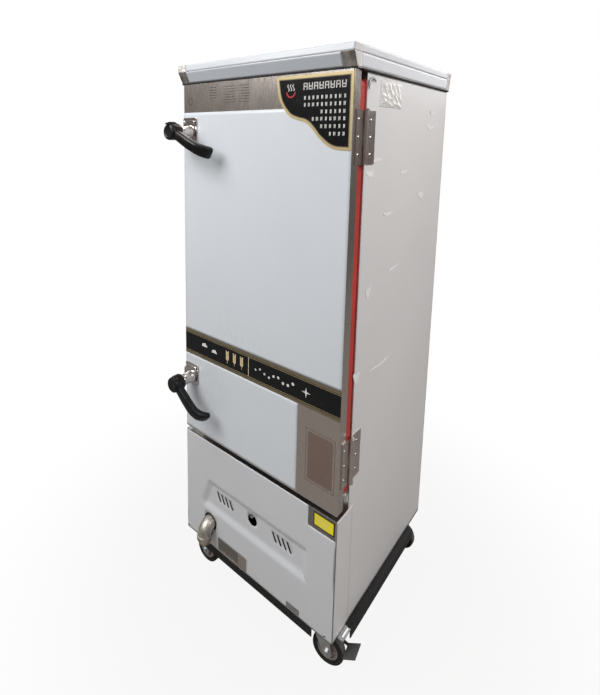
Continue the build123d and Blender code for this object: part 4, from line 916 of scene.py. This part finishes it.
def makeNamePlate():
    # a gold rim, a bronze line and a black face, each a step higher, with the marks on the face
    outline = np.concatenate([smoothLine(namePlate["points"], 8), [namePlate["corner"]]])
    lift, thick, border, step = (namePlate[key] for key in ("lift", "thick", "border", "step"))
    frontPrint("namePlateRim", [outline], lift, thick, "goldFoil", bevel=namePlate["bevel"] * mm)
    line = inset(outline, border - namePlate["line"])
    frontPrint("namePlateLine", [line], lift + step, thick, "bronzeFoil")
    frontPrint("namePlateFace", [inset(outline, border)], lift + 2 * step, thick, "blackFoil")
    depth, ink = namePlate["print"]
    top = lift + 2 * step + thick + depth
    bowl, waves = steamShapes()
    frontBars("namePlatePrint", printMarks(), top, ink, "whiteInk")
    frontPrint("namePlateBowl", [bowl], top, ink, "redInk")
    frontPrint("namePlateSteam", waves, top, ink, "whiteInk")


makeNamePlate()

band = {
    "low": 663.0, "high": 748.0, "border": 9.0, "left": 0.5, "right": 599.5,
    "lift": 0.5, "thick": 0.35, "step": 0.05,
    "hair": (2.2, 3.2), "print": (-0.03, 0.1),  # hairline from the border; depth from the face, thickness
    "buns": [(92, 712, 13), (138, 704, 12)],
    "ears": [(196, 706), (226, 706), (256, 706)],
    "stalk": (-0.7, -20, 0.7, 14),
    "grain": {"half": (2.1, 4.6), "out": 3.4, "low": -7, "pitch": 6.0, "lean": 32},
    "rule": (284.0, 1.2, 13),  # place, half width, margin
    "dots": {"start": 312.0, "step": 17.0, "count": 9, "z": 706.0, "swing": 7.0, "radius": 4.2,
             "wave": 1.7, "growth": (0.75, 0.05)},
    "star": (492.0, 704.0, 15.0, 3.6),
}


def bunShape(cx, cz, radius):
    # a dumpling: a half disc whose top is scalloped by five pleats
    turn = np.linspace(0, np.pi, 31)
    reach = radius * (1 - 0.10 * np.abs(np.sin(2.5 * turn)))
    return np.column_stack([cx + reach * np.cos(turn), cz - radius * 0.35 + reach * np.sin(turn)])


def earShapes(cx, cz):
    # grains set in pairs up a stalk, each a small leaf
    turn, grain = np.linspace(0, 2 * np.pi, 12, endpoint=False), band["grain"]
    left, low, right, high = band["stalk"]
    shapes = [np.array(rectangle(cx + left, cz + low, cx + right, cz + high))]
    x, z = grain["half"][0] * np.cos(turn), grain["half"][1] * np.sin(turn)
    for level in range(5):
        for side in (-1, 1):
            lean = math.radians(-side * grain["lean"])
            shapes.append(np.column_stack([
                cx + side * grain["out"] + x * math.cos(lean) - z * math.sin(lean),
                cz + grain["low"] + grain["pitch"] * level + x * math.sin(lean) + z * math.cos(lean)]))
    return shapes


def starShape(cx, cz, reach, waist):
    # eight corners at equal angles, by turns at the reach and at the waist
    turn = np.arange(8) * np.pi / 4
    radius = np.where(np.arange(8) % 2, waist, reach)
    return np.column_stack([cx + radius * np.cos(turn), cz + radius * np.sin(turn)])


def makeBand():
    # a black face between two bronze borders with gold hairlines, and plain marks on the face
    low, high, border, left, right = (band[key] for key in ("low", "high", "border", "left", "right"))
    lift, thick, step = band["lift"], band["thick"], band["step"]
    frontBars("bandFace", [(left, low, right, high)], lift, thick, "blackFoil")
    edges = [(left, high - border, right, high), (left, low, right, low + border)]
    frontBars("bandBorder", edges, lift + step, thick, "bronzeFoil")
    near, far = band["hair"]
    hair = [(left, high - border - far, right, high - border - near),
            (left, low + border + near, right, low + border + far)]
    frontBars("bandHairline", hair, lift + step, thick, "goldFoil")
    depth, ink = band["print"]
    top = lift + thick + depth
    frontPrint("bandBuns", [bunShape(*bun) for bun in band["buns"]], top, ink, "whiteInk")
    frontPrint("bandEars", [shape for ear in band["ears"] for shape in earShapes(*ear)], top, ink, "creamInk")
    x, half, margin = band["rule"]
    frontBars("bandRule", [(x - half, low + margin, x + half, high - margin)], top, ink, "creamInk")
    dots, (least, more) = band["dots"], band["dots"]["growth"]
    spots = []
    for number in range(dots["count"]):  # dots along a sine wave, growing to the right
        x = dots["start"] + number * dots["step"]
        z = dots["z"] + dots["swing"] * math.sin(number * dots["wave"])
        spots.append(circle((x, z), dots["radius"] * (least + more * number), 12))
    frontPrint("bandDots", [*spots, starShape(*band["star"])], top, ink, "whiteInk")


makeBand()

ruleSheet = {"area": (495.0, 450.0, 588.0, 605.0), "line": 1.6, "gap": 7.0, "rows": 17, "half": 1.1,
             "beside": 4, "above": 8, "spare": 12, "ragged": 22, "dash": (3, (3.0, 9.0), 1.8),
             "layers": {"field": (0.05, 0.1), "line": (0.06, 0.1), "rows": (0.12, 0.08)}}  # lift, thickness
topPrint = {"columns": [(118, 30, 5), (178, 44, 7), (238, 40, 7)], "top": 1526.0, "pitch": 7.4, "half": 0.85,
            "dash": (3, (2.5, 8.0), 2.0),  # dash: least length, lengths, space between
            "layer": (0.05, 0.08), "ring": (33, 1490), "radii": (11, 9)}


def dashes(rng, left, stop, least, sizes, gap, z, half):
    # a row of dashes with lengths drawn between sizes, cut off at stop
    row, x = [], left
    while x < stop - least:
        length = min(rng.uniform(*sizes), stop - x)
        row.append((x, z - half, x + length, z + half))
        x += length + gap
    return row


def makeRuleSheet():
    # a framed printed table: outline, tinted field and rows of short dashes
    left, low, right, high = ruleSheet["area"]
    line, gap, layers, beside = (ruleSheet[key] for key in ("line", "gap", "layers", "beside"))
    frontBars("tableField", [(left + gap, low + gap, right - gap, high - gap)], *layers["field"], "pinkInk")
    outline = [(left, low, right, low + line), (left, high - line, right, high),
               (left, low, left + line, high), (right - line, low, right, high)]
    frontBars("tableOutline", outline, *layers["line"], "brownInk")
    rng = np.random.default_rng(52)
    pitch = (high - low - 2 * gap - ruleSheet["spare"]) / ruleSheet["rows"]
    rows = []
    for row in range(ruleSheet["rows"]):
        stop = right - gap - beside - rng.uniform(0, ruleSheet["ragged"])
        z = high - gap - ruleSheet["above"] - row * pitch
        rows += dashes(rng, left + gap + beside, stop, *ruleSheet["dash"], z, ruleSheet["half"])
    frontBars("tableRows", rows, *layers["rows"], "brownInk")


def makeTopPrint():
    # three faint blocks of dashes on the bare strip above the film, and a plain ring beside them
    rng = np.random.default_rng(63)
    lift, thick = topPrint["layer"]
    rows = []
    for left, wide, count in topPrint["columns"]:
        for row in range(count):
            z = topPrint["top"] - row * topPrint["pitch"]
            rows += dashes(rng, left, left + wide, *topPrint["dash"], z, topPrint["half"])
    frontBars("topPrint", rows, lift, thick, "paleInk")
    count = 32
    rings = [plusDepth(circle(topPrint["ring"], radius, count), depth)
             for depth in (lift, lift + thick) for radius in topPrint["radii"]]
    k = np.arange(count)
    after = (k + 1) % count
    faces = []
    for a, b in ((0, 1), (2, 3), (0, 2), (1, 3)):
        faces += np.stack([a * count + k, a * count + after, b * count + after, b * count + k], -1).tolist()
    addPiece("topRing", (onFront(np.concatenate(rings)), faces), "door", "panel_steel", "paleInk", sharp=20)


makeRuleSheet()
makeTopPrint()
print("printed pieces on the front")


# Lower cover: a sheet with a soft pressed channel, bent back at both sides, and the film over it

cover = {
    "depth": 9.0, "slope": 24.0, "cell": 6.0, "bend": 2.5, "sheet": 1.5,
    "rim": [(107, 242), (72, 151), (75, 127), (515, 127), (515, 242)],  # channel corners, mm from the left
    "slots": [(143.5, 4), (379.0, 4)],  # foot of the first slot, how many
    "slotPitch": 18.4, "slotHalf": 3.7, "slotRise": (177.0, 207.0), "slotLean": 15.0,
    "peep": (299.0, 195.0, 18.0), "drain": (119.0, 88.0, 28.0),
    "returns": {"inset": 2.0, "top": 1.0, "low": (1.5, 14.0)},  # the bent shelf and lip behind the sheet
    "bare": [(155, 1, 283, 48), (511, 319, 599, 378)], "filmRise": (0.6, 0.8), "filmPast": 1,
    "filmHoles": (0.3, 0.4), "filmWave": (90.0, 0.12), "filmLeast": 0.1,
    "gridMargin": 0.1, "holeGap": 0.4,  # free points: mm from the rim, cells from a hole
    "merge": 1e-5,
    "shadeScreen": {"behind": 16.0, "beside": 10.0, "above": 11.0},
    "tube": {"shift": (-15.0, 13.0), "radius": 16.0, "behind": 14.0},
    "strips": [(155.5, 1.5, 244, 8), (246, 1.5, 282.5, 47.5)], "stripLayer": (0.03, 0.12),
}
coverWide, coverDeep, coverTall = ((coverHigh[k] - coverLow[k]) / mm for k in range(3))
bendArc = cover["bend"] * np.pi / 2


def channelDepth(x, z):
    # how deep the press is at a point: a smooth step over the slope, from the nearest side of the rim
    rim = np.asarray(cover["rim"], float)
    way = np.roll(rim, -1, 0) - rim
    way /= np.linalg.norm(way, axis=1, keepdims=True)
    inward = np.full_like(x, 1e9)
    for (px, pz), (wx, wz) in zip(rim, way):
        inward = np.minimum(inward, wx * (z - pz) - wz * (x - px))
    t = np.clip(inward / cover["slope"], 0, 1)
    return cover["depth"] * t * t * (3 - 2 * t)


def densified(loop, cell):
    # more points along each side of a closed outline
    loop = np.asarray(loop, float)
    out = []
    for start, stop in zip(loop, np.roll(loop, -1, 0)):
        count = max(1, int(np.linalg.norm(stop - start) / cell))
        out.append(start + (stop - start) * (np.arange(count)[:, None] / count))
    return np.concatenate(out)


def coverHoles(more=(0, 0)):
    # slots that lean, then the round opening and the drain's hole, each made wider by its share of more
    half, (low, high), lean = cover["slotHalf"], cover["slotRise"], cover["slotLean"]
    holes = []
    for start, count in cover["slots"]:
        for number in range(count):
            x = start + number * cover["slotPitch"]
            slot = [(x - half + lean, low), (x + half + lean, low), (x + half, high), (x - half, high)]
            holes.append(densified(slot, cover["cell"]))
    for (x, z, radius), extra, steps in zip((cover["peep"], cover["drain"]), more, (32, 40)):
        holes.append(circle((x, z), radius + extra, steps))
    return holes


def holedSheet(left, right, low, high, holes):
    # triangles over a rectangle of grid points, with the holes left open
    cell, margin = cover["cell"], cover["gridMargin"]
    columns, rows = int((right - left) / cell) + 1, int((high - low) / cell) + 1
    xs, zs = np.linspace(left, right, columns), np.linspace(low, high, rows)
    x, z = np.meshgrid(xs, zs)
    free = np.column_stack([x.ravel(), z.ravel()])
    keep = np.all((free > (left + margin, low + margin)) & (free < (right - margin, high - margin)), axis=1)
    gap = cell * cover["holeGap"]
    for hole in holes:
        keep &= ~np.all((free > hole.min(0) - gap) & (free < hole.max(0) + gap), axis=1)
    rim = np.concatenate([plusDepth(xs, low)[:-1], plusDepth(zs, right)[:-1, ::-1],
                          plusDepth(xs[::-1], high)[:-1], plusDepth(zs[::-1], left)[:-1, ::-1]])
    loops = [rim, *holes]
    points = np.concatenate([*loops, free[keep]])
    faces, start = [], 0
    for loop in loops:
        faces.append(list(range(start, start + len(loop))))
        start += len(loop)
    flat, _, triangles, *_ = delaunay_2d_cdt([Vector(p) for p in points], [], faces, 2, cover["merge"])
    return np.array([tuple(p) for p in flat]), [list(t) for t in triangles]


def bentBack(flat, lift=0):
    # a flat sheet whose ends past the bend turn a quarter round and run to the rear
    x, z = flat[:, 0], flat[:, 1]
    bend = cover["bend"]
    over = np.maximum(np.maximum(bend - x, x - (coverWide - bend)), 0)
    turn = np.clip(over / bendArc, 0, 1) * np.pi / 2
    across = np.clip(x, bend, coverWide - bend) + np.sign(x - coverWide / 2) * (bend + lift) * np.sin(turn)
    back = bend - (bend + lift) * np.cos(turn) + np.maximum(over - bendArc, 0)
    across = np.where(over <= 0, x, across)
    back = np.where(over <= 0, channelDepth(x, z) - lift, back)
    return np.stack([leftX + across * mm, frontY + back * mm, foot + z * mm], -1)


def makeCover():
    # the pressed face, the two sides bent back to the depth, and the returns at head and foot
    bend, sheet = cover["bend"], cover["sheet"] * mm
    flat, triangles = holedSheet(bend, coverWide - bend, 0, coverTall, coverHoles())
    parts = [(bentBack(flat), triangles)]
    zs = np.linspace(0, coverTall, int(coverTall / cover["cell"]) + 1)
    overs = np.concatenate([np.linspace(0, bendArc, 5),
                            np.linspace(bendArc, bendArc + coverDeep - bend, 4)[1:]])
    for start, side in ((bend, -1), (coverWide - bend, 1)):
        x, z = np.meshgrid(start + side * overs, zs)
        parts.append((bentBack(np.column_stack([x.ravel(), z.ravel()])), gridFaces(len(zs), len(overs))))
    addPiece("coverPanel", joined(parts), "cabinet", "panel_steel", "sheetCover", weld=2e-5, sharp=50,
             replaces=["lower_front_cover"])
    edge, top, (near, far) = (cover["returns"][key] for key in ("inset", "top", "low"))
    x0, x1, y = leftX + edge * mm, rightX - edge * mm, coverLow.y
    low = [(x0, y + top * mm, coverHigh.z - sheet), (x0, y + near * mm, coverLow.z)]
    high = [(x1, coverHigh.y, coverHigh.z), (x1, y + far * mm, coverLow.z + sheet)]
    addPiece("coverReturns", bars(low, high), "cabinet", "panel_steel", "bright_steel", sharp=20,
             replaces=["lower_front_cover"])


def makeCoverFilm():
    # film over the whole front and round both bends, left open at the holes and over the bare patches
    bare = [densified(rectangle(*patch), cover["cell"]) for patch in cover["bare"]]
    (below, above), past = cover["filmRise"], bendArc + cover["filmPast"]
    flat, triangles = holedSheet(-past, coverWide + past, below, coverTall - above,
                                 [*coverHoles(cover["filmHoles"]), *bare])
    lift = film["lift"] + rippled(flat[:, 0], flat[:, 1], 31, *cover["filmWave"])
    points = bentBack(flat, np.maximum(lift, cover["filmLeast"]))
    first = points[np.array([t[:3] for t in triangles])]
    if np.cross(first[:, 1] - first[:, 0], first[:, 2] - first[:, 0])[:, 1].sum() > 0:
        triangles = [t[::-1] for t in triangles]
    addPiece("coverFilm", (points, triangles), "cabinet", "panel_steel", "filmCover", weld=0, sharp=60,
             skin=film["skin"] * mm)


def makeCoverDetails():
    # a black sheet behind the slots as painted shade, a tube's end behind the round opening, paler steel
    # strips on the bare patch as painted reflection
    (low, high), sheet = cover["slotRise"], cover["sheet"]
    behind, beside, above = (cover["shadeScreen"][key] for key in ("behind", "beside", "above"))
    pitch, lean = cover["slotPitch"], cover["slotLean"]
    shadeScreens = [(start - beside, low - above, start + (count - 1) * pitch + beside + lean, high + above)
               for start, count in cover["slots"]]
    # black sheets behind the slots as painted shade
    frontBars("slotShadeScreens", shadeScreens, -behind - sheet, sheet, "seamBlack", "cabinet", "base_paint")
    tube, (px, pz, _) = cover["tube"], cover["peep"]
    disc = circle((px + tube["shift"][0], pz + tube["shift"][1]), tube["radius"], 32)
    frontPrint("peepTube", [disc], -tube["behind"] - sheet, sheet, "plateGrey", "cabinet", "zinc_plate")
    # paler strips of bare steel on the dark patch, as painted reflection
    frontBars("patchStrips", cover["strips"], *cover["stripLayer"], "sheetDoor", "cabinet")


makeCover()
makeCoverFilm()
makeCoverDetails()

coverTags = {
    "yellow": (529, 331, 595, 371), "edge": 3.0, "lift": 0.2, "thick": 0.5, "steps": (0.1, 0.12),
    "rows": 4, "rowPitch": 7.0, "rowRise": (11, 9.2), "rowMargin": 9, "ragged": 14,  # rise: down from the top
    "grey": (443, 4, 489, 24), "greyRound": 3.0, "greyLayer": (0.2, 0.8), "greyBevel": 0.3,
    "rivet": {"in": 5, "radius": 1.6, "layer": (0.9, 0.5), "bevel": 0.2},
    "screws": [(9, 11), (576, 11)],
}


def makeTags():
    # a yellow tag with ragged rows, and a small grey plate on two rivets
    left, low, right, high = coverTags["yellow"]
    lift, thick, edge, margin = (coverTags[key] for key in ("lift", "thick", "edge", "rowMargin"))
    frontBars("tagBack", [coverTags["yellow"]], lift, thick, "blackFoil", "cabinet")
    faceStep, rowStep = coverTags["steps"]
    face = [(left + edge, low + edge, right - edge, high - edge)]
    frontBars("tagFace", face, lift + faceStep, thick, "yellowInk", "cabinet")
    rng = np.random.default_rng(71)
    under, over = coverTags["rowRise"]
    rows = []
    for number in range(coverTags["rows"]):
        top = high - number * coverTags["rowPitch"]
        stop = right - margin - rng.uniform(0, coverTags["ragged"])
        rows.append((left + margin, top - under, stop, top - over))
    frontBars("tagRows", rows, lift + rowStep, thick, "creamInk", "cabinet")
    left, low, right, high = coverTags["grey"]
    plate, rivet = roundedBox((left, low), (right, high), coverTags["greyRound"]), coverTags["rivet"]
    lift, thick = coverTags["greyLayer"]
    frontPrint("serialPlate", [plate], film["lift"] + lift, thick, "plateGrey", "cabinet",
               bevel=coverTags["greyBevel"] * mm)
    lift, thick = rivet["layer"]
    middle, places = (low + high) / 2, (left + rivet["in"], right - rivet["in"])
    heads = [circle((x, middle), rivet["radius"], 12) for x in places]
    frontPrint("serialRivets", heads, film["lift"] + lift, thick, "screw_steel", "cabinet", "screw_steel",
               bevel=rivet["bevel"] * mm)


makeTags()
print("lower cover, its film and tags")


# Latches: chrome base, round neck, and a moulded lever with a drum head and a flared foot

latch = {
    "x": 32.0, "heights": {"upper": (1396.0, 30.0), "lower": (586.0, 43.0)},  # above the foot, degrees down
    "plate": (62.0, 45.0, 24.0), "plateThick": 4.0, "plateRound": 8.0, "plateBevel": 1.2,  # wide, up, down
    "boss": {"in": (7, 5, 9), "rise": (3.0, 7.0), "round": 9.0},  # in: beside, below, above
    # turned shapes: (radius, height over the rear) and then (radius, depth under the front)
    "neck": 44.0, "gap": 2.0,
    "neckShape": ([(0, 0), (22, 0), (22.2, 4), (21.4, 8), (19.6, 13), (18.2, 20), (17.6, 28)],
                  [(17.8, 9), (19.2, 6), (19.4, 3), (18.4, 0.6), (16, 0), (0, 0)]),
    "head": 40.0,
    "drum": ([(0, 0), (22, 0), (24.2, 0.8), (25, 3), (25, 11), (23.2, 12.5), (23.2, 15), (24.7, 16.5)],
             [(24.7, 7), (23.5, 3.4), (20.5, 1), (17, 0), (15, 1.6), (13, 2), (0, 2)]),
    "lobe": {"place": (-10.5, 13.0),
             "shape": ([(0, 9), (11.5, 9), (13.5, 11)], [(13.5, 9), (10.5, 5), (0, 4)])},
    "spur": {"thick": 8.0, "outline": [(1, -16), (13, -14), (12, -3), (7, 9), (1, -2)]},  # up, out
    "arm": [(0, 0, 70), (40, 4, 71), (78, 7, 71), (104, 9, 68), (121, 10, 60), (132, 10, 48), (138, 10, 37),
            (140, 10, 32)],  # reach, up, out
    "armHalf": [(13, 12), (15, 12), (16, 12), (16, 12), (17, 12), (18, 11), (18, 9), (16, 7)],  # halves
    "squareness": 0.62, "ridge": (1.6, 0.30), "tip": (0.80, 0.20, 3.0), "leverBevel": 0.6,
}


def latchPlace(height, angle=0.0):
    # (along the lever, up, out) drawn level, then hung about the spindle
    turn = math.radians(-angle)

    def across(points):
        points = np.asarray(points, float)
        x = points[:, 0] * math.cos(turn) - points[:, 1] * math.sin(turn)
        z = points[:, 0] * math.sin(turn) + points[:, 1] * math.cos(turn)
        return onFront(np.column_stack([x + latch["x"], z + height, points[:, 2]]))
    return across


def turned(shape, rear, front, steps, across):
    # a turned shape: its first points measured from the rear, the others back from the front
    near, far = shape
    return revolve([(r, rear + h) for r, h in near] + [(r, front - h) for r, h in far], steps, across)


def makeLatchBase(name, height):
    # a rounded plate with a raised boss, and a waisted neck
    across = latchPlace(height)
    wide, above, below = latch["plate"]
    thick, boss = latch["plateThick"], latch["boss"]
    beside, under, over = boss["in"]
    plate = roundedBox((-wide / 2, -below), (wide / 2, above), latch["plateRound"], 6)
    raised = roundedBox((-wide / 2 + beside, -below + under), (wide / 2 - beside, above - over),
                        boss["round"], 6)
    parts = [prism(plate, film["lift"], thick, across), prism(raised, *boss["rise"], across)]
    addPiece(name + "LatchPlate", joined(parts), "door", "chrome_casting", "chrome_casting",
             replaces=["latch_bases"], bevel=latch["plateBevel"] * mm)
    addPiece(name + "LatchNeck", turned(latch["neckShape"], thick, thick + latch["neck"], 48, across), "door",
             "chrome_casting", "chrome_casting", replaces=["latch_bases"], sharp=50)


def leverArm(across):
    # a section between a circle and a square, ridged in front and drawn in at the tip, along a bent path
    path, half = smoothLine(latch["arm"], 5), smoothLine(latch["armHalf"], 5)
    turn = np.linspace(0, 2 * np.pi, 28, endpoint=False)
    edgeX, edgeY = (np.sign(way) * np.abs(way) ** latch["squareness"] for way in (np.cos(turn), np.sin(turn)))
    base, more, stations = latch["tip"]
    ends = np.clip((len(path) - 1 - np.arange(len(path))) / stations, 0, 1)
    closing = (base + more * np.sqrt(1 - (1 - ends) ** 2))[:, None]
    rise, spread = latch["ridge"]
    ridge = rise * np.exp(-((turn - 1.5 * np.pi) / spread) ** 2)[None, :]
    sections = np.stack([half[:, :1] * edgeX * closing, (half[:, 1:] * edgeY) * closing - ridge], -1)
    points, faces = carried(path, (0, 1, 0), sections)
    return across(points), faces


def makeLever(name, height, angle):
    # a drum head, a swept arm, a round lobe and its spur
    across = latchPlace(height, angle)
    rear = latch["plateThick"] + latch["neck"] + latch["gap"]
    front = rear + latch["head"]
    spur, lobe = latch["spur"], latch["lobe"]
    along, up = lobe["place"]
    beak, half = [(up + rise, front + out) for rise, out in spur["outline"]], spur["thick"] / 2
    parts = [
        turned(latch["drum"], rear, front, 56, across),
        leverArm(across),
        turned(lobe["shape"], rear, front, 32, lambda points: across(points + np.array([along, up, 0]))),
        prism(beak, along - half, along + half, lambda points: across(points[:, [2, 0, 1]])),
    ]
    addPiece(name + "Lever", joined(parts), name + "_latch", "lever_plastic", "lever_plastic",
             replaces=[name + "_latch_lever"], sharp=40, bevel=latch["leverBevel"] * mm)


for latchName, (latchHeight, latchAngle) in latch["heights"].items():
    makeLatchBase(latchName, latchHeight)
    makeLever(latchName, latchHeight, latchAngle)
print("latches ready")


# Screws, each a pan head with a cross of two slits, black as painted shade

screw = {
    "profile": [(0, 0), (4.5, 0), (4.5, 0.5), (3.87, 1.364), (2.475, 2.046), (0, 2.2)],
    "cross": (2.6, 0.55), "rise": (1.644, 2.244), "steps": 20, "turn": 1.3,  # turn: from head to head
    "hinges": (1384.5, 530.0), "hingeSteps": (-42.0, 0.0, 42.0), "leaf": 3.0, "leaves": (83.5, 21.5),
    "plateSides": (-22.0, 22.0), "plateUp": 31.0, "plateOut": 7.0, "keeperSteps": (-20.0, 20.0),
    "keeperBack": 84.0, "coverOut": 0.3, "rear": {"margin": 16.0, "columns": 3, "rows": 6},
    "casters": ((-250.0, 250.0), (44.0, 552.0), (-21.0, 21.0), (-26.0, 26.0)), "casterDown": 6.0,
}


def screwHeads(places):
    # heads at (point in metres, direction)
    heads, slitShades = [], []
    (long, half), (low, high) = screw["cross"], screw["rise"]
    cross, crossFaces = bars([(-long, -half, low), (-half, -long, low)],
                             [(long, half, high), (half, long, high)])
    for number, (point, direction) in enumerate(places):
        facing = Vector(direction).to_track_quat("Z", "Y").to_matrix()
        basis = np.array(facing @ Matrix.Rotation(number * screw["turn"], 3, "Z"))

        def across(points, basis=basis, start=np.array(point, float)):
            return start + (np.asarray(points, float) * mm) @ basis.T

        heads.append(revolve(screw["profile"], screw["steps"], across))
        slitShades.append((across(cross), crossFaces))
    return joined(heads), joined(slitShades)


def screwPlaces():
    # on the cabinet and on the door: hinges, latch plates, keepers, cover, rear panel, caster plates
    panel, door = [], []
    leaf = screw["leaf"] * mm
    for middle, step in product(screw["hinges"], screw["hingeSteps"]):
        for places, back in zip((panel, door), screw["leaves"]):
            places.append(((rightX + leaf, frontY + back * mm, foot + (middle + step) * mm), (1, 0, 0)))
    for height, _ in latch["heights"].values():
        door += [((leftX + (latch["x"] + side) * mm, frontY - screw["plateOut"] * mm,
                   foot + (height + screw["plateUp"]) * mm), (0, -1, 0)) for side in screw["plateSides"]]
        panel += [((leftX - leaf, frontY + screw["keeperBack"] * mm, foot + (height + step) * mm), (-1, 0, 0))
                  for step in screw["keeperSteps"]]
    panel += [((leftX + x * mm, frontY - screw["coverOut"] * mm, foot + z * mm), (0, -1, 0))
              for x, z in coverTags["screws"]]
    rear = screw["rear"]
    margin, columns, rows = rear["margin"] * mm, rear["columns"], rear["rows"]
    wide, tall = panelHigh.x - leftX - 2 * margin, panelHigh.z - panelLow.z - 2 * margin
    for column, row in product(range(columns), range(rows)):
        x, z = leftX + margin + wide * column / (columns - 1), foot + margin + tall * row / (rows - 1)
        panel.append(((x, panelHigh.y, z), (0, 1, 0)))
    under = foot - screw["casterDown"] * mm
    panel += [((middleX + (x + stepX) * mm, frontY + (y + stepY) * mm, under), (0, 0, -1))
              for x, y, stepX, stepY in product(*screw["casters"])]
    return panel, door


def makeScrews():
    # all heads of a body in one piece, all their slits, black as painted shade, in another
    for name, places, body, node in zip(("panelScrews", "doorScrews"), screwPlaces(), ("cabinet", "door"),
                                        ("panel_screws", "door_screws")):
        heads, slitShades = screwHeads(places)
        addPiece(name, heads, body, "screw_steel", "screw_steel", replaces=[node], sharp=50)
        # the slits are black as painted shade
        addPiece(name + "SlitShade", slitShades, body, "screw_steel", "base_paint", sharp=20)


makeScrews()


# Casters: tyre, tread and dished hub; fork, nut and brake are the solids

caster = {
    "turns": {"front_left": 0.0, "front_right": 9.0, "rear_left": 0.0, "rear_right": 0.0},  # degrees
    # halves of turned shapes: radius, height over the middle
    "wall": [(31, 11.5), (32.5, 12.8), (35.5, 13.0), (36.5, 12.0), (38, 12.0), (39, 13.4), (42, 14),
             (43.6, 13.4), (45.8, 11.8), (46.9, 9.8)],
    "tread": [(46.7, 10), (47.5, 8), (47.95, 4), (48, 0), (47.95, -4), (47.5, -8), (46.7, -10), (45, -10),
              (45, 10), (46.7, 10)],
    "dish": [(0, 14), (9.5, 14), (10.5, 13), (11, 10), (12, 7.5), (14, 6.2), (24, 6.6), (26, 8.6), (28, 10.8),
             (29.5, 11.5), (31, 11.2)],
    "ribs": 5, "rib": [(10, 2.4), (26, 1.6), (26, -1.6), (10, -2.4)], "ribRise": (5.5, 9.4), "steps": 64,
}


def wheelPlace(corner):
    # (along the roll, up, along the axle) from the wheel's middle, turned about the upright as the caster is
    low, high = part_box(corner + "_tyre")
    centre = (low + high) / 2
    turn = math.radians(caster["turns"][corner])

    def across(points):
        points = np.asarray(points, float) * mm
        x = centre.x + points[:, 0] * math.cos(turn) - points[:, 2] * math.sin(turn)
        y = centre.y + points[:, 0] * math.sin(turn) + points[:, 2] * math.cos(turn)
        return np.stack([x, y, centre.z + points[:, 1]], -1)
    return across


def mirrored(half):
    # half a turned shape, then the same points backwards on the other side of the middle
    return half + [(r, -h) for r, h in half[::-1]]


def makeWheel(corner):
    # tyre, tread and hub, with ribs at equal angles on both faces of the hub
    across, steps = wheelPlace(corner), caster["steps"]
    end, side = corner.split("_")
    label, body = end + side.capitalize(), corner + "_wheel"
    wall = mirrored(caster["wall"]) + caster["wall"][:1]
    addPiece(label + "Tyre", revolve(wall, steps, across), body, "tyre_rubber", "tyre_rubber",
             replaces=[corner + "_tyre"], sharp=50)
    addPiece(label + "Tread", revolve(caster["tread"], steps, across), body, "tyre_rubber", "treadGrey",
             sharp=60)
    parts = [revolve(mirrored(caster["dish"]), steps, across)]
    for face, number in product((1, -1), range(caster["ribs"])):
        angle = number * 2 * np.pi / caster["ribs"]
        way, normal = np.array([np.cos(angle), np.sin(angle)]), np.array([-np.sin(angle), np.cos(angle)])
        near, far = (face * rise for rise in caster["ribRise"])
        parts.append(prism([way * reach + normal * half for reach, half in caster["rib"]], near, far, across))
    addPiece(label + "Hub", joined(parts), body, "hub_plastic", "hub_plastic", sharp=40,
             replaces=[corner + "_hub"])


for cornerName in caster["turns"]:
    makeWheel(cornerName)
print("casters ready")
